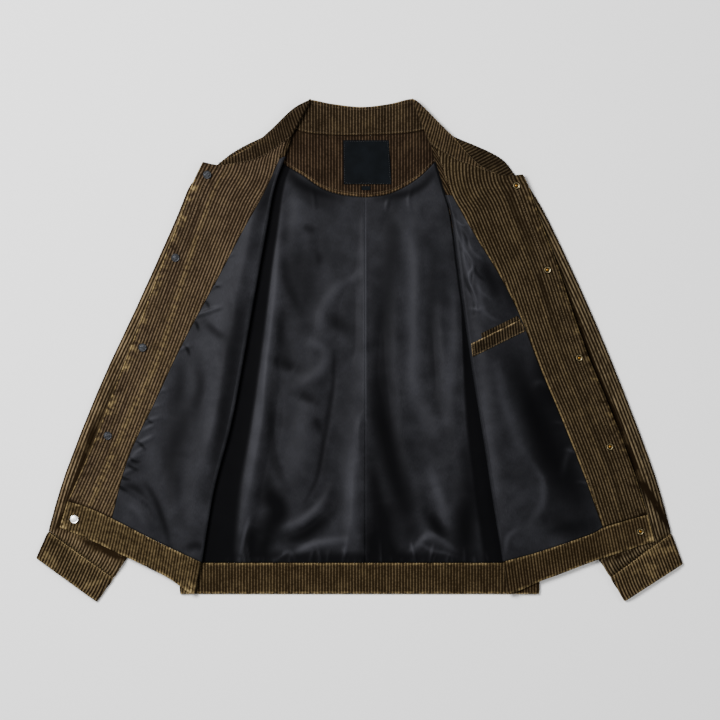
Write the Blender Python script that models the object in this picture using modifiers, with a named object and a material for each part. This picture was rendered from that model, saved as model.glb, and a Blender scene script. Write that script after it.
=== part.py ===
"""A corduroy jacket laid open on its back, with both fronts rolled outward.

Metres, +Z up. The jacket rests on z = 0 with its collar towards +Y, and the origin is below
the middle of its outline. Sizes and tables are in millimetres.
"""

import math

import bpy
from mathutils import Vector

# ------------------------------------------------------------------ walls and layers

MM = 0.001
CORDUROY = 1.8
SATIN = 1.0
FACING = 1.6
BAND = 2.6  # collar and waistband, corduroy on both faces
SEAM = 0.3  # the gap between pieces that are sewn together
LABEL = 1.0

BACK_Z = CORDUROY / 2
BACK_LINING_Z = CORDUROY + SEAM + SATIN / 2
NECK_FACING_Z = CORDUROY + SEAM + FACING / 2
LABEL_Z = NECK_FACING_Z + FACING / 2 + SEAM + LABEL / 2
UNDER_Z = CORDUROY + 2 * (SEAM + SATIN) + SEAM + CORDUROY / 2  # front, between side and roll
SLEEVE_HEIGHT = UNDER_Z + CORDUROY / 2
TURNED_Z = SLEEVE_HEIGHT + 0.4 + CORDUROY / 2  # front, turned over onto itself and the sleeve
LINING_OUT = CORDUROY / 2 + SEAM + SATIN / 2  # from the middle of the front's wall
FACING_OUT = CORDUROY / 2 + SEAM + FACING / 2
WELT_OUT = LINING_OUT + SATIN / 2 + SEAM + FACING / 2
BAND_BACK_Z = BAND / 2
BAND_UNDER_Z = UNDER_Z
BAND_TURNED_Z = BAND_UNDER_Z + BAND + SEAM

# ------------------------------------------------------------------ the soft roll of each front

ROLL_BULGE = 5.0  # how much higher the turned cloth stands at the roll
ROLL_BULGE_WIDTH = 46.0
ROLL_LIFT = 1.5  # how much the cloth under it is lifted
ROLL_LIFT_WIDTH = 22.0
ROLL_STEPS = 6
BAND_BULGE = 2.4
CURL = UNDER_Z - CORDUROY - 1.4 * SEAM  # drop of the side edge onto the back
LINING_TUCK = 20.0  # lining that goes on under the roll

# ------------------------------------------------------------------ the fronts
# A row for each section across a front, from the hem seam to the neck seam: its front edge, its
# roll line, its side edge, and the facing seam as a share of the way from roll to edge.

FRONT_LEFT = (
    # section      edge_x  edge_y  roll_x  roll_y  side_x  side_y  seam_share
    ("hem", -422.5, -219.0, -230.0, -307.0, -259.5, -308.0, 0.677),
    ("low", -387.0, -138.0, -212.5, -203.0, -259.5, -203.0, 0.705),
    ("pocket", -356.0, -58.0, -188.0, -109.0, -259.5, -109.0, 0.650),
    ("waist", -325.5, 20.5, -170.5, -17.5, -259.5, -22.0, 0.579),
    ("underarm", -298.0, 94.0, -154.5, 74.0, -257.0, 46.5, 0.455),
    ("chest", -270.5, 165.0, -137.0, 171.0, -247.0, 109.0, 0.283),
    ("upper chest", -245.0, 233.5, -124.0, 239.0, -237.5, 167.0, 0.095),
    ("top snap", -235.5, 255.5, -105.0, 290.0, -230.5, 210.0, 0.060),
    ("neck", -227.0, 272.5, -100.0, 308.0, -226.0, 238.5, 0.050),
)
FRONT_RIGHT = (
    ("hem", 417.0, -238.0, 209.5, -306.0, 259.5, -308.0, 0.692),
    ("low", 393.5, -164.0, 195.0, -217.5, 259.5, -203.0, 0.657),
    ("pocket", 362.0, -82.5, 180.5, -123.0, 259.5, -109.0, 0.616),
    ("waist", 333.0, -13.0, 166.0, -35.0, 259.5, -22.0, 0.570),
    ("underarm", 306.5, 62.5, 153.0, 55.0, 257.0, 46.5, 0.500),
    ("chest", 285.0, 127.5, 143.0, 127.5, 247.0, 109.0, 0.362),
    ("upper chest", 261.5, 190.0, 134.0, 196.0, 237.5, 167.0, 0.142),
    ("top snap", 247.0, 232.0, 122.5, 235.0, 230.5, 210.0, 0.060),
    ("neck", 236.5, 254.5, 104.0, 296.0, 226.0, 238.5, 0.050),
)
# The neck seam and the hem seam of each turned front, from the roll out to the front edge.
NECK_SEAM_LEFT = (
    (-100, 308), (-111, 298.5), (-132.5, 284), (-157, 274), (-185, 269.5), (-206.5, 268), (-227, 272.5),
)
NECK_SEAM_RIGHT = (
    (104, 296), (118, 288), (138.5, 275.5), (160, 268), (187, 258.5), (211, 252.5), (236.5, 254.5),
)
HEM_SEAM_LEFT = ((-230, -307), (-302.5, -272.5), (-359, -243.5), (-393.5, -228), (-422.5, -219))
HEM_SEAM_RIGHT = ((209.5, -306), (262, -291.5), (334, -267), (353, -257), (382, -248), (417, -238))
FRONT_ROWS = 14
ROW_INSET = 0.0012  # share of the height kept clear of the bands sewn on above and below
FACING_STEPS = 6  # from the facing seam to the front edge
FACING_SPREAD = 1.3  # power that sets the steps closer together near the roll
LINING_STEPS = 6  # from the roll to the facing seam
LINING_SPREAD_REACH = 90.0  # reach at which those steps are spread by their square
LINING_ROWS = 12  # the lining runs out at this row, where the facing seam meets the roll
UNDERARM_SHARE = 3.6 / 8  # share of the front's height where the side seam ends
ARMHOLE_FADE = 0.06  # share of the height over which the side edge lifts off the back
NECK_BOW_POWER = 2
HEM_BOW_POWER = 3

# ------------------------------------------------------------------ back, shoulders and neck

HEM_Y = -308.5
SIDE_X = 259.5
UNDERARM_Y = 29.0
SHOULDER_TIP = (225.5, 249.0)
# The shoulder fold, from the neck point out, and the seam of the part that wraps forward.
SHOULDER_LEFT = (
    (-113, 322), (-132.5, 313), (-147, 304), (-160, 299.5), (-185, 285.5), (-206.5, 268), (-225.5, 249),
)
SHOULDER_RIGHT = (
    (113, 322.5), (125, 317), (138.5, 308.5), (163, 298.5), (189, 287), (209.5, 274), (225.5, 253),
)
SHOULDER_COLUMNS = 9
SHOULDER_CURL_SHARE = 0.6  # most of the strip's width that its fold may take
FORWARD_SEAM_INSET = 5.0  # from the roll to the strip's neck end
BACK_NECK = (
    (-109.5, 326), (-93.5, 320.5), (-72, 315), (-30, 312), (20, 312.5), (66, 315), (95, 320.5), (110.5, 326),
)
BACK_ROWS = 7
NECK_FACING_LOW = (
    (-118, 276), (-102, 265.5), (-80.5, 252.5), (-54.5, 235), (-27, 226), (8, 222), (37, 225.5),
    (61.5, 235), (86.5, 251), (106.5, 270.5), (116, 281),
)
NECK_FACING_COLUMNS = 17
NECK_FACING_ROWS = 4
BACK_LINING_COLUMNS = 15
BACK_LINING_ROWS = 15
BACK_LINING_GAP = 0.8  # below the neck facing
LINING_TOP_Y = min(y for _, y in NECK_FACING_LOW)
CENTRE_SEAM_X = 8.0
LABEL_CORNERS = ((-23.0, 240.0), (46.5, 240.0), (42.5, 304.0), (-23.5, 304.0))
TAB_CENTRE = (9.5, 234.5)
TAB_SIZE = (13.0, 6.0)
# The soft folds of the back lining, as it lies slack between the rolls.
LINING_FOLDS = (
    # fold            hem_x  neck_x  height  width  from_y  to_y
    ("left valley", -180.0, -86.0, 4.0, 17.0, -320.0, 250.0),
    ("left drape", -96.0, -40.0, 3.0, 22.0, -250.0, 150.0),
    ("centre seam", 10.0, 12.0, 2.2, 16.0, -320.0, 200.0),
    ("right drape", 62.0, 52.0, 4.2, 20.0, -260.0, 210.0),
    ("right valley", 150.0, 92.0, 3.0, 17.0, -310.0, 220.0),
)

# ------------------------------------------------------------------ sleeves and cuffs
# A row for each section across a sleeve, from the armhole down: its outer and its inner edge.

SLEEVE_LEFT = (
    # section     outer_x  outer_y  inner_x  inner_y
    ("armhole", -229.0, 250.0, -260.5, 29.5),
    ("cap", -246.0, 237.5, -262.0, 12.0),
    ("upper arm", -269.0, 183.0, -264.5, -14.5),
    ("elbow", -321.0, 67.0, -269.0, -72.5),
    ("forearm", -375.0, -49.5, -280.5, -159.5),
    ("wrist", -425.5, -177.0, -309.5, -254.0),
    ("cuff seam", -451.3, -262.4, -355.4, -330.4),
)
SLEEVE_RIGHT = (
    ("armhole", 229.0, 250.0, 260.5, 29.5),
    ("cap", 244.5, 237.5, 262.5, 12.0),
    ("upper arm", 276.0, 183.0, 266.0, -14.5),
    ("elbow", 330.0, 67.0, 273.5, -72.5),
    ("forearm", 378.5, -49.5, 288.0, -159.5),
    ("wrist", 426.5, -177.0, 322.5, -261.0),
    ("cuff seam", 451.9, -265.2, 362.4, -329.3),
)
CUFF_OPENING_LEFT = ("opening", -469.0, -302.0, -380.5, -365.2)
CUFF_OPENING_RIGHT = ("opening", 469.0, -310.5, 384.0, -364.6)
CUFF_GAP = 0.5  # from the end of the sleeve, whose edges meet the cuff's at an angle
# Long creases in a sleeve's upper side, as a share of the way from the outer to the inner edge.
SLEEVE_FOLDS = (
    # fold       cap_share  cuff_share  height  width
    ("outer crease", 0.16, 0.30, -1.1, 8.0),
    ("middle crease", 0.42, 0.62, -1.2, 11.0),
)
SLEEVE_SECTIONS = 12
CUFF_SECTIONS = 3
TUBE_UNDER_STEPS = 4  # across the underside
TUBE_UPPER_STEPS = 8  # across the upper side
TUBE_EDGE_DEGREES = (45, 90, 135)  # round each long edge
CUFF_WALL = 2.4

# ------------------------------------------------------------------ collar and waistband
# Each is one band. Its legs run between folds, and each leg has a sewn edge and a free edge.

COLLAR_BACK_FREE = ((-82.5, 354), (-71, 362.5), (-40, 357), (3.5, 352.5), (44, 357), (76, 364), (86, 354))
COLLAR_WING_LEFT = ((-70.5, 363.5), (-96.5, 349.5), (-127, 320.5), (-147, 303), (-166, 290.5), (-205, 270.6))
COLLAR_WING_RIGHT = (
    (76, 364), (86.5, 358), (117, 327.5), (140, 304.5), (153, 288.5), (172, 269.5), (186, 261), (201, 254.5),
)
COLLAR_TIP_SHARE = 0.73  # how far along the neck seam each end of the collar reaches
WING_STEPS = 12
COLLAR_ROWS = 3
WAISTBAND_ROWS = 2
BAND_LOW_LEFT = ((-238.5, -353), (-247, -351), (-279, -329), (-331, -303), (-389, -275.5), (-434, -256.5))
BAND_LOW_RIGHT = ((216, -353.5), (222.5, -352), (261.5, -335), (289, -325), (343, -304.5), (427, -277))
BAND_FOOT_Y = -353.5
LEG_GAP = 0.9  # between the fronts' hem and neck edges and the bands sewn to them
TURN_STEPS = 5  # round each half turn of a band
TURN_RUN = 4.0  # length at a leg's end that gives the direction of its half turn

# ------------------------------------------------------------------ pocket and snaps

WELT_CORNERS = ((163.5, -10.0), (240.0, 27.5), (232.5, 44.2), (161.5, 9.0))
BACKING_CORNERS = ((177.0, 16.9), (231.7, 44.3), (229.0, 49.7), (176.0, 24.0))
SNAP_CAP = {"radius": 6.1, "height": 1.6, "edge": 0.5}
SNAP_SOCKET = {"radius": 5.4, "lip": 3.6, "height": 1.5, "floor": 0.6, "slope": 0.6, "side": 0.7}
SNAP_SIDES = 20
WELT_STEPS = 6
BACKING_STEPS = 3
SNAPS_LEFT = ((-220.5, 253.5), (-266.5, 133.5), (-314.0, 3.5), (-364.5, -124.0), (-413.0, -245.0))
SNAPS_RIGHT = ((227.0, 238.0), (272.0, 116.0), (318.0, -11.5), (362.5, -140.0), (406.5, -263.0))

# ------------------------------------------------------------------ finishes

FINISHES = {
    # name: colour, roughness, metallic
    "corduroy": ((0.085, 0.055, 0.026, 1.0), 0.9, 0.0),
    "facing_corduroy": ((0.095, 0.052, 0.022, 1.0), 0.9, 0.0),
    "satin": ((0.012, 0.014, 0.019, 1.0), 0.35, 0.0),
    "label_satin": ((0.006, 0.006, 0.007, 1.0), 0.6, 0.0),
    "grey_metal": ((0.32, 0.33, 0.34, 1.0), 0.35, 1.0),
    "brass": ((0.62, 0.42, 0.16, 1.0), 0.3, 1.0),
}


# ------------------------------------------------------------------ curves in plan


def spline(points, share):
    """The point at a share of the way along a smooth curve with its points evenly spaced."""
    last = len(points) - 1
    at = min(max(share, 0.0), 1.0) * last
    i = min(int(at), last - 1)
    f = at - i
    b, c = Vector(points[i]), Vector(points[i + 1])
    a = Vector(points[i - 1]) if i > 0 else b * 2 - c
    d = Vector(points[i + 2]) if i + 2 <= last else c * 2 - b
    return (b * 2 + (c - a) * f + (a * 2 - b * 5 + c * 4 - d) * f**2 + (b * 3 - a - c * 3 + d) * f**3) / 2


def fine_line(points, steps=160):
    """Points close together along the smooth curve, and the length run at each."""
    line = [spline(points, i / steps) for i in range(steps + 1)]
    run = [0.0]
    for a, b in zip(line, line[1:]):
        run.append(run[-1] + (b - a).length)
    return line, run


def at_length(curve, length):
    """The point at this length along a curve from fine_line."""
    line, run = curve
    length = min(max(length, 0.0), run[-1])
    for i in range(1, len(run)):
        if run[i] >= length:
            f = (length - run[i - 1]) / max(run[i] - run[i - 1], 1e-9)
            return line[i - 1].lerp(line[i], f)
    return line[-1]


def evenly(points, count):
    """Points at equal lengths along the smooth curve."""
    curve = fine_line(points)
    return [at_length(curve, curve[1][-1] * i / (count - 1)) for i in range(count)]


def moved_aside(points, distance):
    """The plan curve moved to its left by a distance."""
    moved = []
    for i, point in enumerate(points):
        before = Vector(points[max(i - 1, 0)])
        after = Vector(points[min(i + 1, len(points) - 1)])
        along = (after - before).normalized()
        moved.append(Vector(point) + Vector((-along.y, along.x)) * distance)
    return moved


def fade(share):
    """1 at 0, falling smoothly to 0 at 1 and beyond."""
    return (1 + math.cos(math.pi * min(abs(share), 1.0))) / 2


def ridge(offset, width):
    return math.exp(-((offset / width) ** 2))


# ------------------------------------------------------------------ solids from open surfaces


def finish_of(name):
    """The material of that name, made on first use."""
    if name in bpy.data.materials:
        return bpy.data.materials[name]
    colour, roughness, metallic = FINISHES[name]
    material = bpy.data.materials.new(name)
    material.use_nodes = True
    shader = material.node_tree.nodes["Principled BSDF"]
    shader.inputs["Base Color"].default_value = colour
    shader.inputs["Roughness"].default_value = roughness
    shader.inputs["Metallic"].default_value = metallic
    return material


def add_object(name, mesh, finish):
    obj = bpy.data.objects.new(name, mesh)
    mesh.materials.append(finish_of(finish))
    jacket.objects.link(obj)
    return obj


def cloth(name, rows, wall, finish, around=False):
    """A wall of cloth from rows of points on its middle surface. around joins each row's ends."""
    columns = len(rows[0])
    points = [Vector(p) * MM for row in rows for p in row]
    faces = []
    for r in range(len(rows) - 1):
        for c in range(columns if around else columns - 1):
            d = (c + 1) % columns
            faces.append((r * columns + c, r * columns + d, (r + 1) * columns + d, (r + 1) * columns + c))
    mesh = bpy.data.meshes.new(name)
    mesh.from_pydata(points, [], faces)
    mesh.validate()
    mesh.shade_smooth()
    obj = add_object(name, mesh, finish)
    shell = obj.modifiers.new("Wall", "SOLIDIFY")
    shell.thickness = wall * MM
    shell.offset = 0
    return obj


def moved_out(rows, distance):
    """Rows of points moved along the surface's normals, away from its underside."""
    moved = []
    for r, row in enumerate(rows):
        below = rows[max(r - 1, 0)]
        above = rows[min(r + 1, len(rows) - 1)]
        line = []
        for c, point in enumerate(row):
            across = Vector(row[min(c + 1, len(row) - 1)]) - Vector(row[max(c - 1, 0)])
            up = Vector(above[c]) - Vector(below[c])
            normal = across.cross(up).normalized()
            line.append(Vector(point) + normal * distance)
        moved.append(line)
    return moved


def turned_rows(rows, left):
    """Rows in the order that makes their normals point out of the jacket's upper side."""
    return [list(reversed(row)) for row in rows] if left else rows


# ------------------------------------------------------------------ the fronts


def front_lines(table, neck_seam, hem_seam):
    """The plan curves of one front, each over the share of its height."""
    return {
        "edge": [(row[1], row[2]) for row in table],
        "roll": [(row[3], row[4]) for row in table],
        "side": [(row[5], row[6]) for row in table],
        "seam": [(row[7], 0.0) for row in table],
        "neck": fine_line(neck_seam),
        "hem": fine_line(hem_seam),
    }


def bulge(height_share):
    """The roll's extra height: fullest at mid height, flatter at the waistband and the neck."""
    return ROLL_BULGE * (0.45 + 0.55 * math.sin(math.pi * height_share))


def turned_plan(front, s, v):
    """The plan point of the turned cloth at share s from roll to edge, at height share v."""
    roll, edge = spline(front["roll"], v), spline(front["edge"], v)
    point = roll.lerp(edge, s)
    for seam, end, weight in (("neck", 1.0, v**NECK_BOW_POWER), ("hem", 0.0, (1 - v) ** HEM_BOW_POWER)):
        chord = spline(front["roll"], end).lerp(spline(front["edge"], end), s)
        bow = at_length(front[seam], front[seam][1][-1] * s) - chord
        point = point + bow * weight
    return point


def roll_radius(v):
    return (TURNED_Z + bulge(v) - UNDER_Z - ROLL_LIFT) / 2


def turned_point(front, distance, v):
    """A point of the turned cloth at a distance from the roll."""
    length = (spline(front["edge"], v) - spline(front["roll"], v)).length
    plan = turned_plan(front, distance / length, v)
    height = TURNED_Z + bulge(v) * fade((distance - roll_radius(v)) / ROLL_BULGE_WIDTH)
    return (plan.x, plan.y, height)


def roll_points(front, v):
    """The half turn of the roll, from the cloth below to the cloth above."""
    roll = spline(front["roll"], v)
    below = (spline(front["side"], v) - roll).normalized()
    above = (turned_plan(front, 0.1, v) - roll).normalized()
    radius = roll_radius(v)
    middle = UNDER_Z + ROLL_LIFT + radius
    points = []
    for i in range(ROLL_STEPS + 1):
        angle = math.pi * (i / ROLL_STEPS - 0.5)
        outward = below.lerp(above, i / ROLL_STEPS).normalized()
        plan = roll + outward * radius * (1 - math.cos(angle))
        points.append((plan.x, plan.y, middle + radius * math.sin(angle)))
    return points


def under_point(front, distance, v):
    """A point of the cloth under the roll, at a distance from the roll towards the side."""
    roll, side = spline(front["roll"], v), spline(front["side"], v)
    plan = roll + (side - roll).normalized() * distance
    height = UNDER_Z + ROLL_LIFT * fade((distance - roll_radius(v)) / ROLL_LIFT_WIDTH)
    return (plan.x, plan.y, height)


def side_points(front, v):
    """The side edge, which curls down to the back below the underarm and is open above it."""
    length = (spline(front["side"], v) - spline(front["roll"], v)).length
    closed = fade(max(v - UNDERARM_SHARE + ARMHOLE_FADE, 0.0) / ARMHOLE_FADE)
    points = []
    for degrees in (0, 30, 60, 90):
        angle = math.radians(degrees)
        x, y, z = under_point(front, length - CORDUROY / 2 - CURL * (1 - math.cos(angle)), v)
        points.append((x, y, z - CURL * closed * (1 - math.sin(angle))))
    return points


def seam_distance(front, v):
    """From the roll to the facing seam, across the turned cloth."""
    return spline(front["seam"], v)[0] * front_width(front, v)


def front_width(front, v):
    return (spline(front["edge"], v) - spline(front["roll"], v)).length


def lining_points(front, v, gap):
    """Points from the roll to a gap before the facing seam, closer together on the roll's bulge."""
    radius = roll_radius(v)
    reach = seam_distance(front, v) - gap - radius
    spread = 1.0 + min(reach / LINING_SPREAD_REACH, 1.0)
    shares = [(k / LINING_STEPS) ** spread for k in range(1, LINING_STEPS + 1)]
    return [turned_point(front, radius + reach * share, v) for share in shares]


def facing_points(front, v, gap):
    """Points from a gap past the facing seam to the front edge."""
    start = seam_distance(front, v) + gap
    reach = front_width(front, v) - start
    shares = [(k / FACING_STEPS) ** FACING_SPREAD for k in range(FACING_STEPS + 1)]
    return [turned_point(front, start + reach * share, v) for share in shares]


def front_row(front, v):
    side = (spline(front["side"], v) - spline(front["roll"], v)).length - CORDUROY / 2 - CURL
    radius = roll_radius(v)
    row = side_points(front, v)
    lifted = min(radius + ROLL_LIFT_WIDTH / 2, (side + radius) / 2)
    row += [under_point(front, reach, v) for reach in ((side + lifted) / 2, lifted)]
    row += roll_points(front, v)
    row += lining_points(front, v, 0.0)
    row += facing_points(front, v, 0.0)[1:]
    return row


def front_share(i):
    """The share of the front's height at a row."""
    return ROW_INSET + (1 - 2 * ROW_INSET) * i / (FRONT_ROWS - 1)


def make_front(name, front, left):
    rows = [front_row(front, front_share(i)) for i in range(FRONT_ROWS)]
    cloth(name, turned_rows(rows, left), CORDUROY, "corduroy")


def make_facing(name, front, left):
    """From the facing seam out to the front edge, on top of the turned front."""
    rows = [facing_points(front, front_share(i), SEAM) for i in range(FRONT_ROWS)]
    cloth(name, moved_out(turned_rows(rows, left), FACING_OUT), FACING, "facing_corduroy")


def make_front_lining(name, front, left):
    """From the facing seam back over the roll, and tucked in below it."""
    rows = []
    for i in range(LINING_ROWS):
        v = front_share(i)
        row = [under_point(front, roll_radius(v) + LINING_TUCK * reach, v) for reach in (1.0, 0.5)]
        row += roll_points(front, v)
        row += lining_points(front, v, SEAM)
        rows.append(row)
    cloth(name, moved_out(turned_rows(rows, left), LINING_OUT), SATIN, "satin")


# ------------------------------------------------------------------ back, shoulders and neck


def make_back():
    """The flat panel from the hem seam to the neck, with the armholes at its sides."""
    left = [(-SIDE_X, UNDERARM_Y), (-SHOULDER_TIP[0], SHOULDER_TIP[1])]
    right = [(SHOULDER_TIP[0], SHOULDER_TIP[1]), (SIDE_X, UNDERARM_Y)]
    top = [Vector(left[0]).lerp(Vector(left[1]), i / 4) for i in range(4)]
    top += evenly(tuple(reversed(SHOULDER_LEFT)), 6)
    top += evenly(moved_aside(BACK_NECK, -LEG_GAP), 11)[1:-1]
    top += evenly(SHOULDER_RIGHT[:-1] + (SHOULDER_TIP,), 6)
    top += [Vector(right[0]).lerp(Vector(right[1]), i / 4) for i in range(1, 5)]
    rows = []
    for i in range(BACK_ROWS):
        share = i / (BACK_ROWS - 1)
        row = []
        for k, point in enumerate(top):
            foot_x = -SIDE_X + 2 * SIDE_X * k / (len(top) - 1)
            row.append((foot_x + (point.x - foot_x) * share, HEM_Y + (point.y - HEM_Y) * share, BACK_Z))
        rows.append(row)
    cloth("back", rows, CORDUROY, "corduroy")


def make_shoulder(name, fold, front, left):
    """The back's shoulder, wrapped forward over its fold and down to the seam with the front."""
    outer = evenly(fold, SHOULDER_COLUMNS)
    neck, tip = Vector(front["roll"][-1]), Vector(front["side"][-1])
    neck_end = neck + (tip - neck).normalized() * FORWARD_SEAM_INSET
    seam = moved_aside([neck_end, tip], -LEG_GAP if left else LEG_GAP)
    inner = [seam[0].lerp(seam[1], i / (SHOULDER_COLUMNS - 1)) for i in range(SHOULDER_COLUMNS)]
    rows = []
    for a, b in zip(outer, inner):
        inward = (b - a).normalized()
        curl = min(CURL, SHOULDER_CURL_SHARE * (b - a).length)
        row = []
        for degrees in (0, 30, 60, 90):
            angle = math.radians(degrees)
            plan = a + inward * (CORDUROY / 2 + curl * (1 - math.cos(angle)))
            row.append((plan.x, plan.y, UNDER_Z - CURL * (1 - math.sin(angle))))
        start = a + inward * (CORDUROY / 2 + curl)
        row += [(*start.lerp(b, share), UNDER_Z) for share in (0.5, 1.0)]
        rows.append(row)
    cloth(name, turned_rows(rows, left), CORDUROY, "corduroy")


def lining_height(x, y):
    """The back lining's height, raised along each of its folds."""
    height = BACK_LINING_Z
    for _, hem_x, neck_x, rise, width, from_y, to_y in LINING_FOLDS:
        share = (y - HEM_Y) / (LINING_TOP_Y - HEM_Y)
        middle = hem_x + (neck_x - hem_x) * share
        ends = fade((y - (from_y + to_y) / 2) / ((to_y - from_y) / 2)) ** 0.5
        height += rise * ridge(x - middle, width) * ends
    return height


def make_back_lining(name, side):
    """One half, from the centre seam to just past the roll, slack in long folds."""
    roll = FRONT_LEFT if side < 0 else FRONT_RIGHT
    foot_end = roll[0][3] + side * LINING_TUCK * 0.5
    arc = [Vector(p) for p in NECK_FACING_LOW]
    if side < 0:
        arc = list(reversed(arc))
    inner = [p for p in arc if side * (p.x - CENTRE_SEAM_X) > 0]
    seam_x = CENTRE_SEAM_X + side * SEAM / 2
    top = evenly([Vector((seam_x, LINING_TOP_Y))] + inner, BACK_LINING_COLUMNS)
    hem = HEM_Y + LEG_GAP
    rows = []
    for i in range(BACK_LINING_ROWS):
        share = i / (BACK_LINING_ROWS - 1)
        row = []
        for k, point in enumerate(top):
            foot_x = seam_x + (foot_end - CENTRE_SEAM_X) * k / (len(top) - 1)
            x = foot_x + (point.x - foot_x) * share
            y = hem + (point.y - BACK_LINING_GAP - hem) * share
            row.append((x, y, lining_height(x, y)))
        rows.append(row)
    cloth(name, turned_rows(rows, side < 0), SATIN, "satin")


def make_neck_facing():
    """The shaped piece between the collar seam and the lining, which carries the label."""
    low = evenly(NECK_FACING_LOW, NECK_FACING_COLUMNS)
    high = moved_aside(evenly(BACK_NECK[1:-1], NECK_FACING_COLUMNS), -LEG_GAP)
    rows = []
    for i in range(NECK_FACING_ROWS):
        share = i / (NECK_FACING_ROWS - 1)
        row = []
        for a, b in zip(low, high):
            plan = a.lerp(b, share)
            row.append((plan.x, plan.y, NECK_FACING_Z))
        rows.append(row)
    cloth("neck_facing", rows, FACING, "facing_corduroy")


def plate(name, corners, height, wall, finish, steps=2):
    """A flat piece between four corners, given anticlockwise, following a height."""
    a, b, c, d = (Vector(p) for p in corners)
    rows = []
    for i in range(steps + 1):
        row = []
        for k in range(steps + 1):
            plan = a.lerp(b, k / steps).lerp(d.lerp(c, k / steps), i / steps)
            row.append((plan.x, plan.y, height(plan)))
        rows.append(row)
    cloth(name, rows, wall, finish)


def make_labels():
    plate("label", LABEL_CORNERS, lambda plan: LABEL_Z, LABEL, "label_satin", steps=1)
    x, y = TAB_CENTRE
    w, h = TAB_SIZE[0] / 2, TAB_SIZE[1] / 2
    corners = ((x - w, y - h), (x + w, y - h), (x + w, y + h), (x - w, y + h))
    plate("size_tab", corners, lambda plan: LABEL_Z, LABEL, "label_satin", steps=1)


# ------------------------------------------------------------------ sleeves and cuffs


def square_to(line, share):
    """The plan direction to the left of a line, at a share of its length."""
    along = spline(line, min(share + 0.01, 1.0)) - spline(line, max(share - 0.01, 0.0))
    return Vector((-along.y, along.x)).normalized()


def tube(name, table, sections, height, wall, folds):
    """A flattened tube of cloth, open at both ends, from a table of sections."""
    outer_line = [(row[1], row[2]) for row in table]
    inner_line = [(row[3], row[4]) for row in table]
    radius = (height - wall) / 2
    start = wall / 2 + radius
    across = spline(inner_line, 1) - spline(outer_line, 1)
    hand = math.copysign(1.0, square_to(outer_line, 1).dot(across))
    rows = []
    for i in range(sections):
        v = i / (sections - 1)
        outer, inner = spline(outer_line, v), spline(inner_line, v)
        from_outer, from_inner = square_to(outer_line, v) * hand, square_to(inner_line, v) * -hand
        near, far = outer + from_outer * start, inner + from_inner * start
        width = (far - near).length
        row = [(near.lerp(far, k / TUBE_UNDER_STEPS), wall / 2) for k in range(TUBE_UNDER_STEPS + 1)]
        for degrees in TUBE_EDGE_DEGREES:
            angle = math.radians(degrees)
            row.append((far - from_inner * radius * math.sin(angle), height / 2 - radius * math.cos(angle)))
        for k in range(TUBE_UPPER_STEPS + 1):
            share = 1 - k / TUBE_UPPER_STEPS
            rise = 0.0
            for _, cap_share, cuff_share, fold_height, fold_width in folds:
                middle = cap_share + (cuff_share - cap_share) * v
                rise += fold_height * ridge((share - middle) * width, fold_width) * math.sin(math.pi * v)
            row.append((near.lerp(far, share), height - wall / 2 + rise))
        for degrees in TUBE_EDGE_DEGREES:
            angle = math.radians(degrees)
            row.append((near - from_outer * radius * math.sin(angle), height / 2 + radius * math.cos(angle)))
        rows.append([(plan.x, plan.y, z) for plan, z in row])
    if table[0][1] > 0:
        rows = [list(reversed(row)) for row in rows]
    return cloth(name, rows, wall, "corduroy", around=True)


def make_cuff(name, sleeve, opening):
    """A short tube from just past the end of the sleeve to the opening."""
    _, *seam = sleeve[-1]
    outer, inner = Vector(seam[:2]), Vector(seam[2:])
    across = (inner - outer).normalized()
    down = Vector((across.y, -across.x))
    if down.y > 0:
        down = -down
    seam_row = ("seam", *(outer + down * CUFF_GAP), *(inner + down * CUFF_GAP))
    tube(name, (seam_row, opening), CUFF_SECTIONS, SLEEVE_HEIGHT, CUFF_WALL, ())


# ------------------------------------------------------------------ collar and waistband


def leg_points(rail, height, count, start, end, rise):
    """Points along one leg's edge, kept short of its folds, with a rise towards a fold."""
    curve = fine_line(rail)
    length = curve[1][-1]
    points = []
    for i in range(count):
        at = start + (length - start - end) * i / (count - 1)
        plan = at_length(curve, at)
        points.append((plan.x, plan.y, height + rise(at, length)))
    return points


def fold_points(rail, low, high):
    """The half turn at the end of a leg's edge, between two heights."""
    curve = fine_line(rail)
    radius = abs(high - low) / 2
    end, before = curve[0][-1], at_length(curve, curve[1][-1] - TURN_RUN)
    along = (end - before).normalized()
    points = []
    for i in range(1, TURN_STEPS):
        angle = math.pi * (i / TURN_STEPS - 0.5)
        plan = end - along * radius * (1 - math.cos(angle))
        points.append((plan.x, plan.y, (low + high) / 2 + (high - low) / 2 * math.sin(angle)))
    return points


def band(name, legs, across):
    """A band of cloth whose legs lie on each other, joined by half turns.

    Each leg is (sewn edge, free edge, height at its start, height at its end, points along it).
    """
    rails = []
    for side in (0, 1):
        points = []
        for i, leg in enumerate(legs):
            low, high = leg[2], leg[3]
            start = abs(low - legs[i - 1][3]) / 2 if i else 0.0
            end = abs(high - legs[i + 1][2]) / 2 if i + 1 < len(legs) else 0.0

            def rise(at, length, low=low, high=high):
                if high > low:
                    return (high - low) * fade((length - at) / ROLL_BULGE_WIDTH)
                return (high - low) * (1 - fade(at / ROLL_BULGE_WIDTH))

            points += leg_points(leg[side], low, leg[4], start, end, rise)
            if i + 1 < len(legs):
                points += fold_points(leg[side], high, legs[i + 1][2])
        rails.append(points)
    rows = []
    for k in range(across + 1):
        rows.append([Vector(a).lerp(Vector(b), k / across) for a, b in zip(*rails)])
    cloth(name, rows, BAND, "corduroy")


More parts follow.
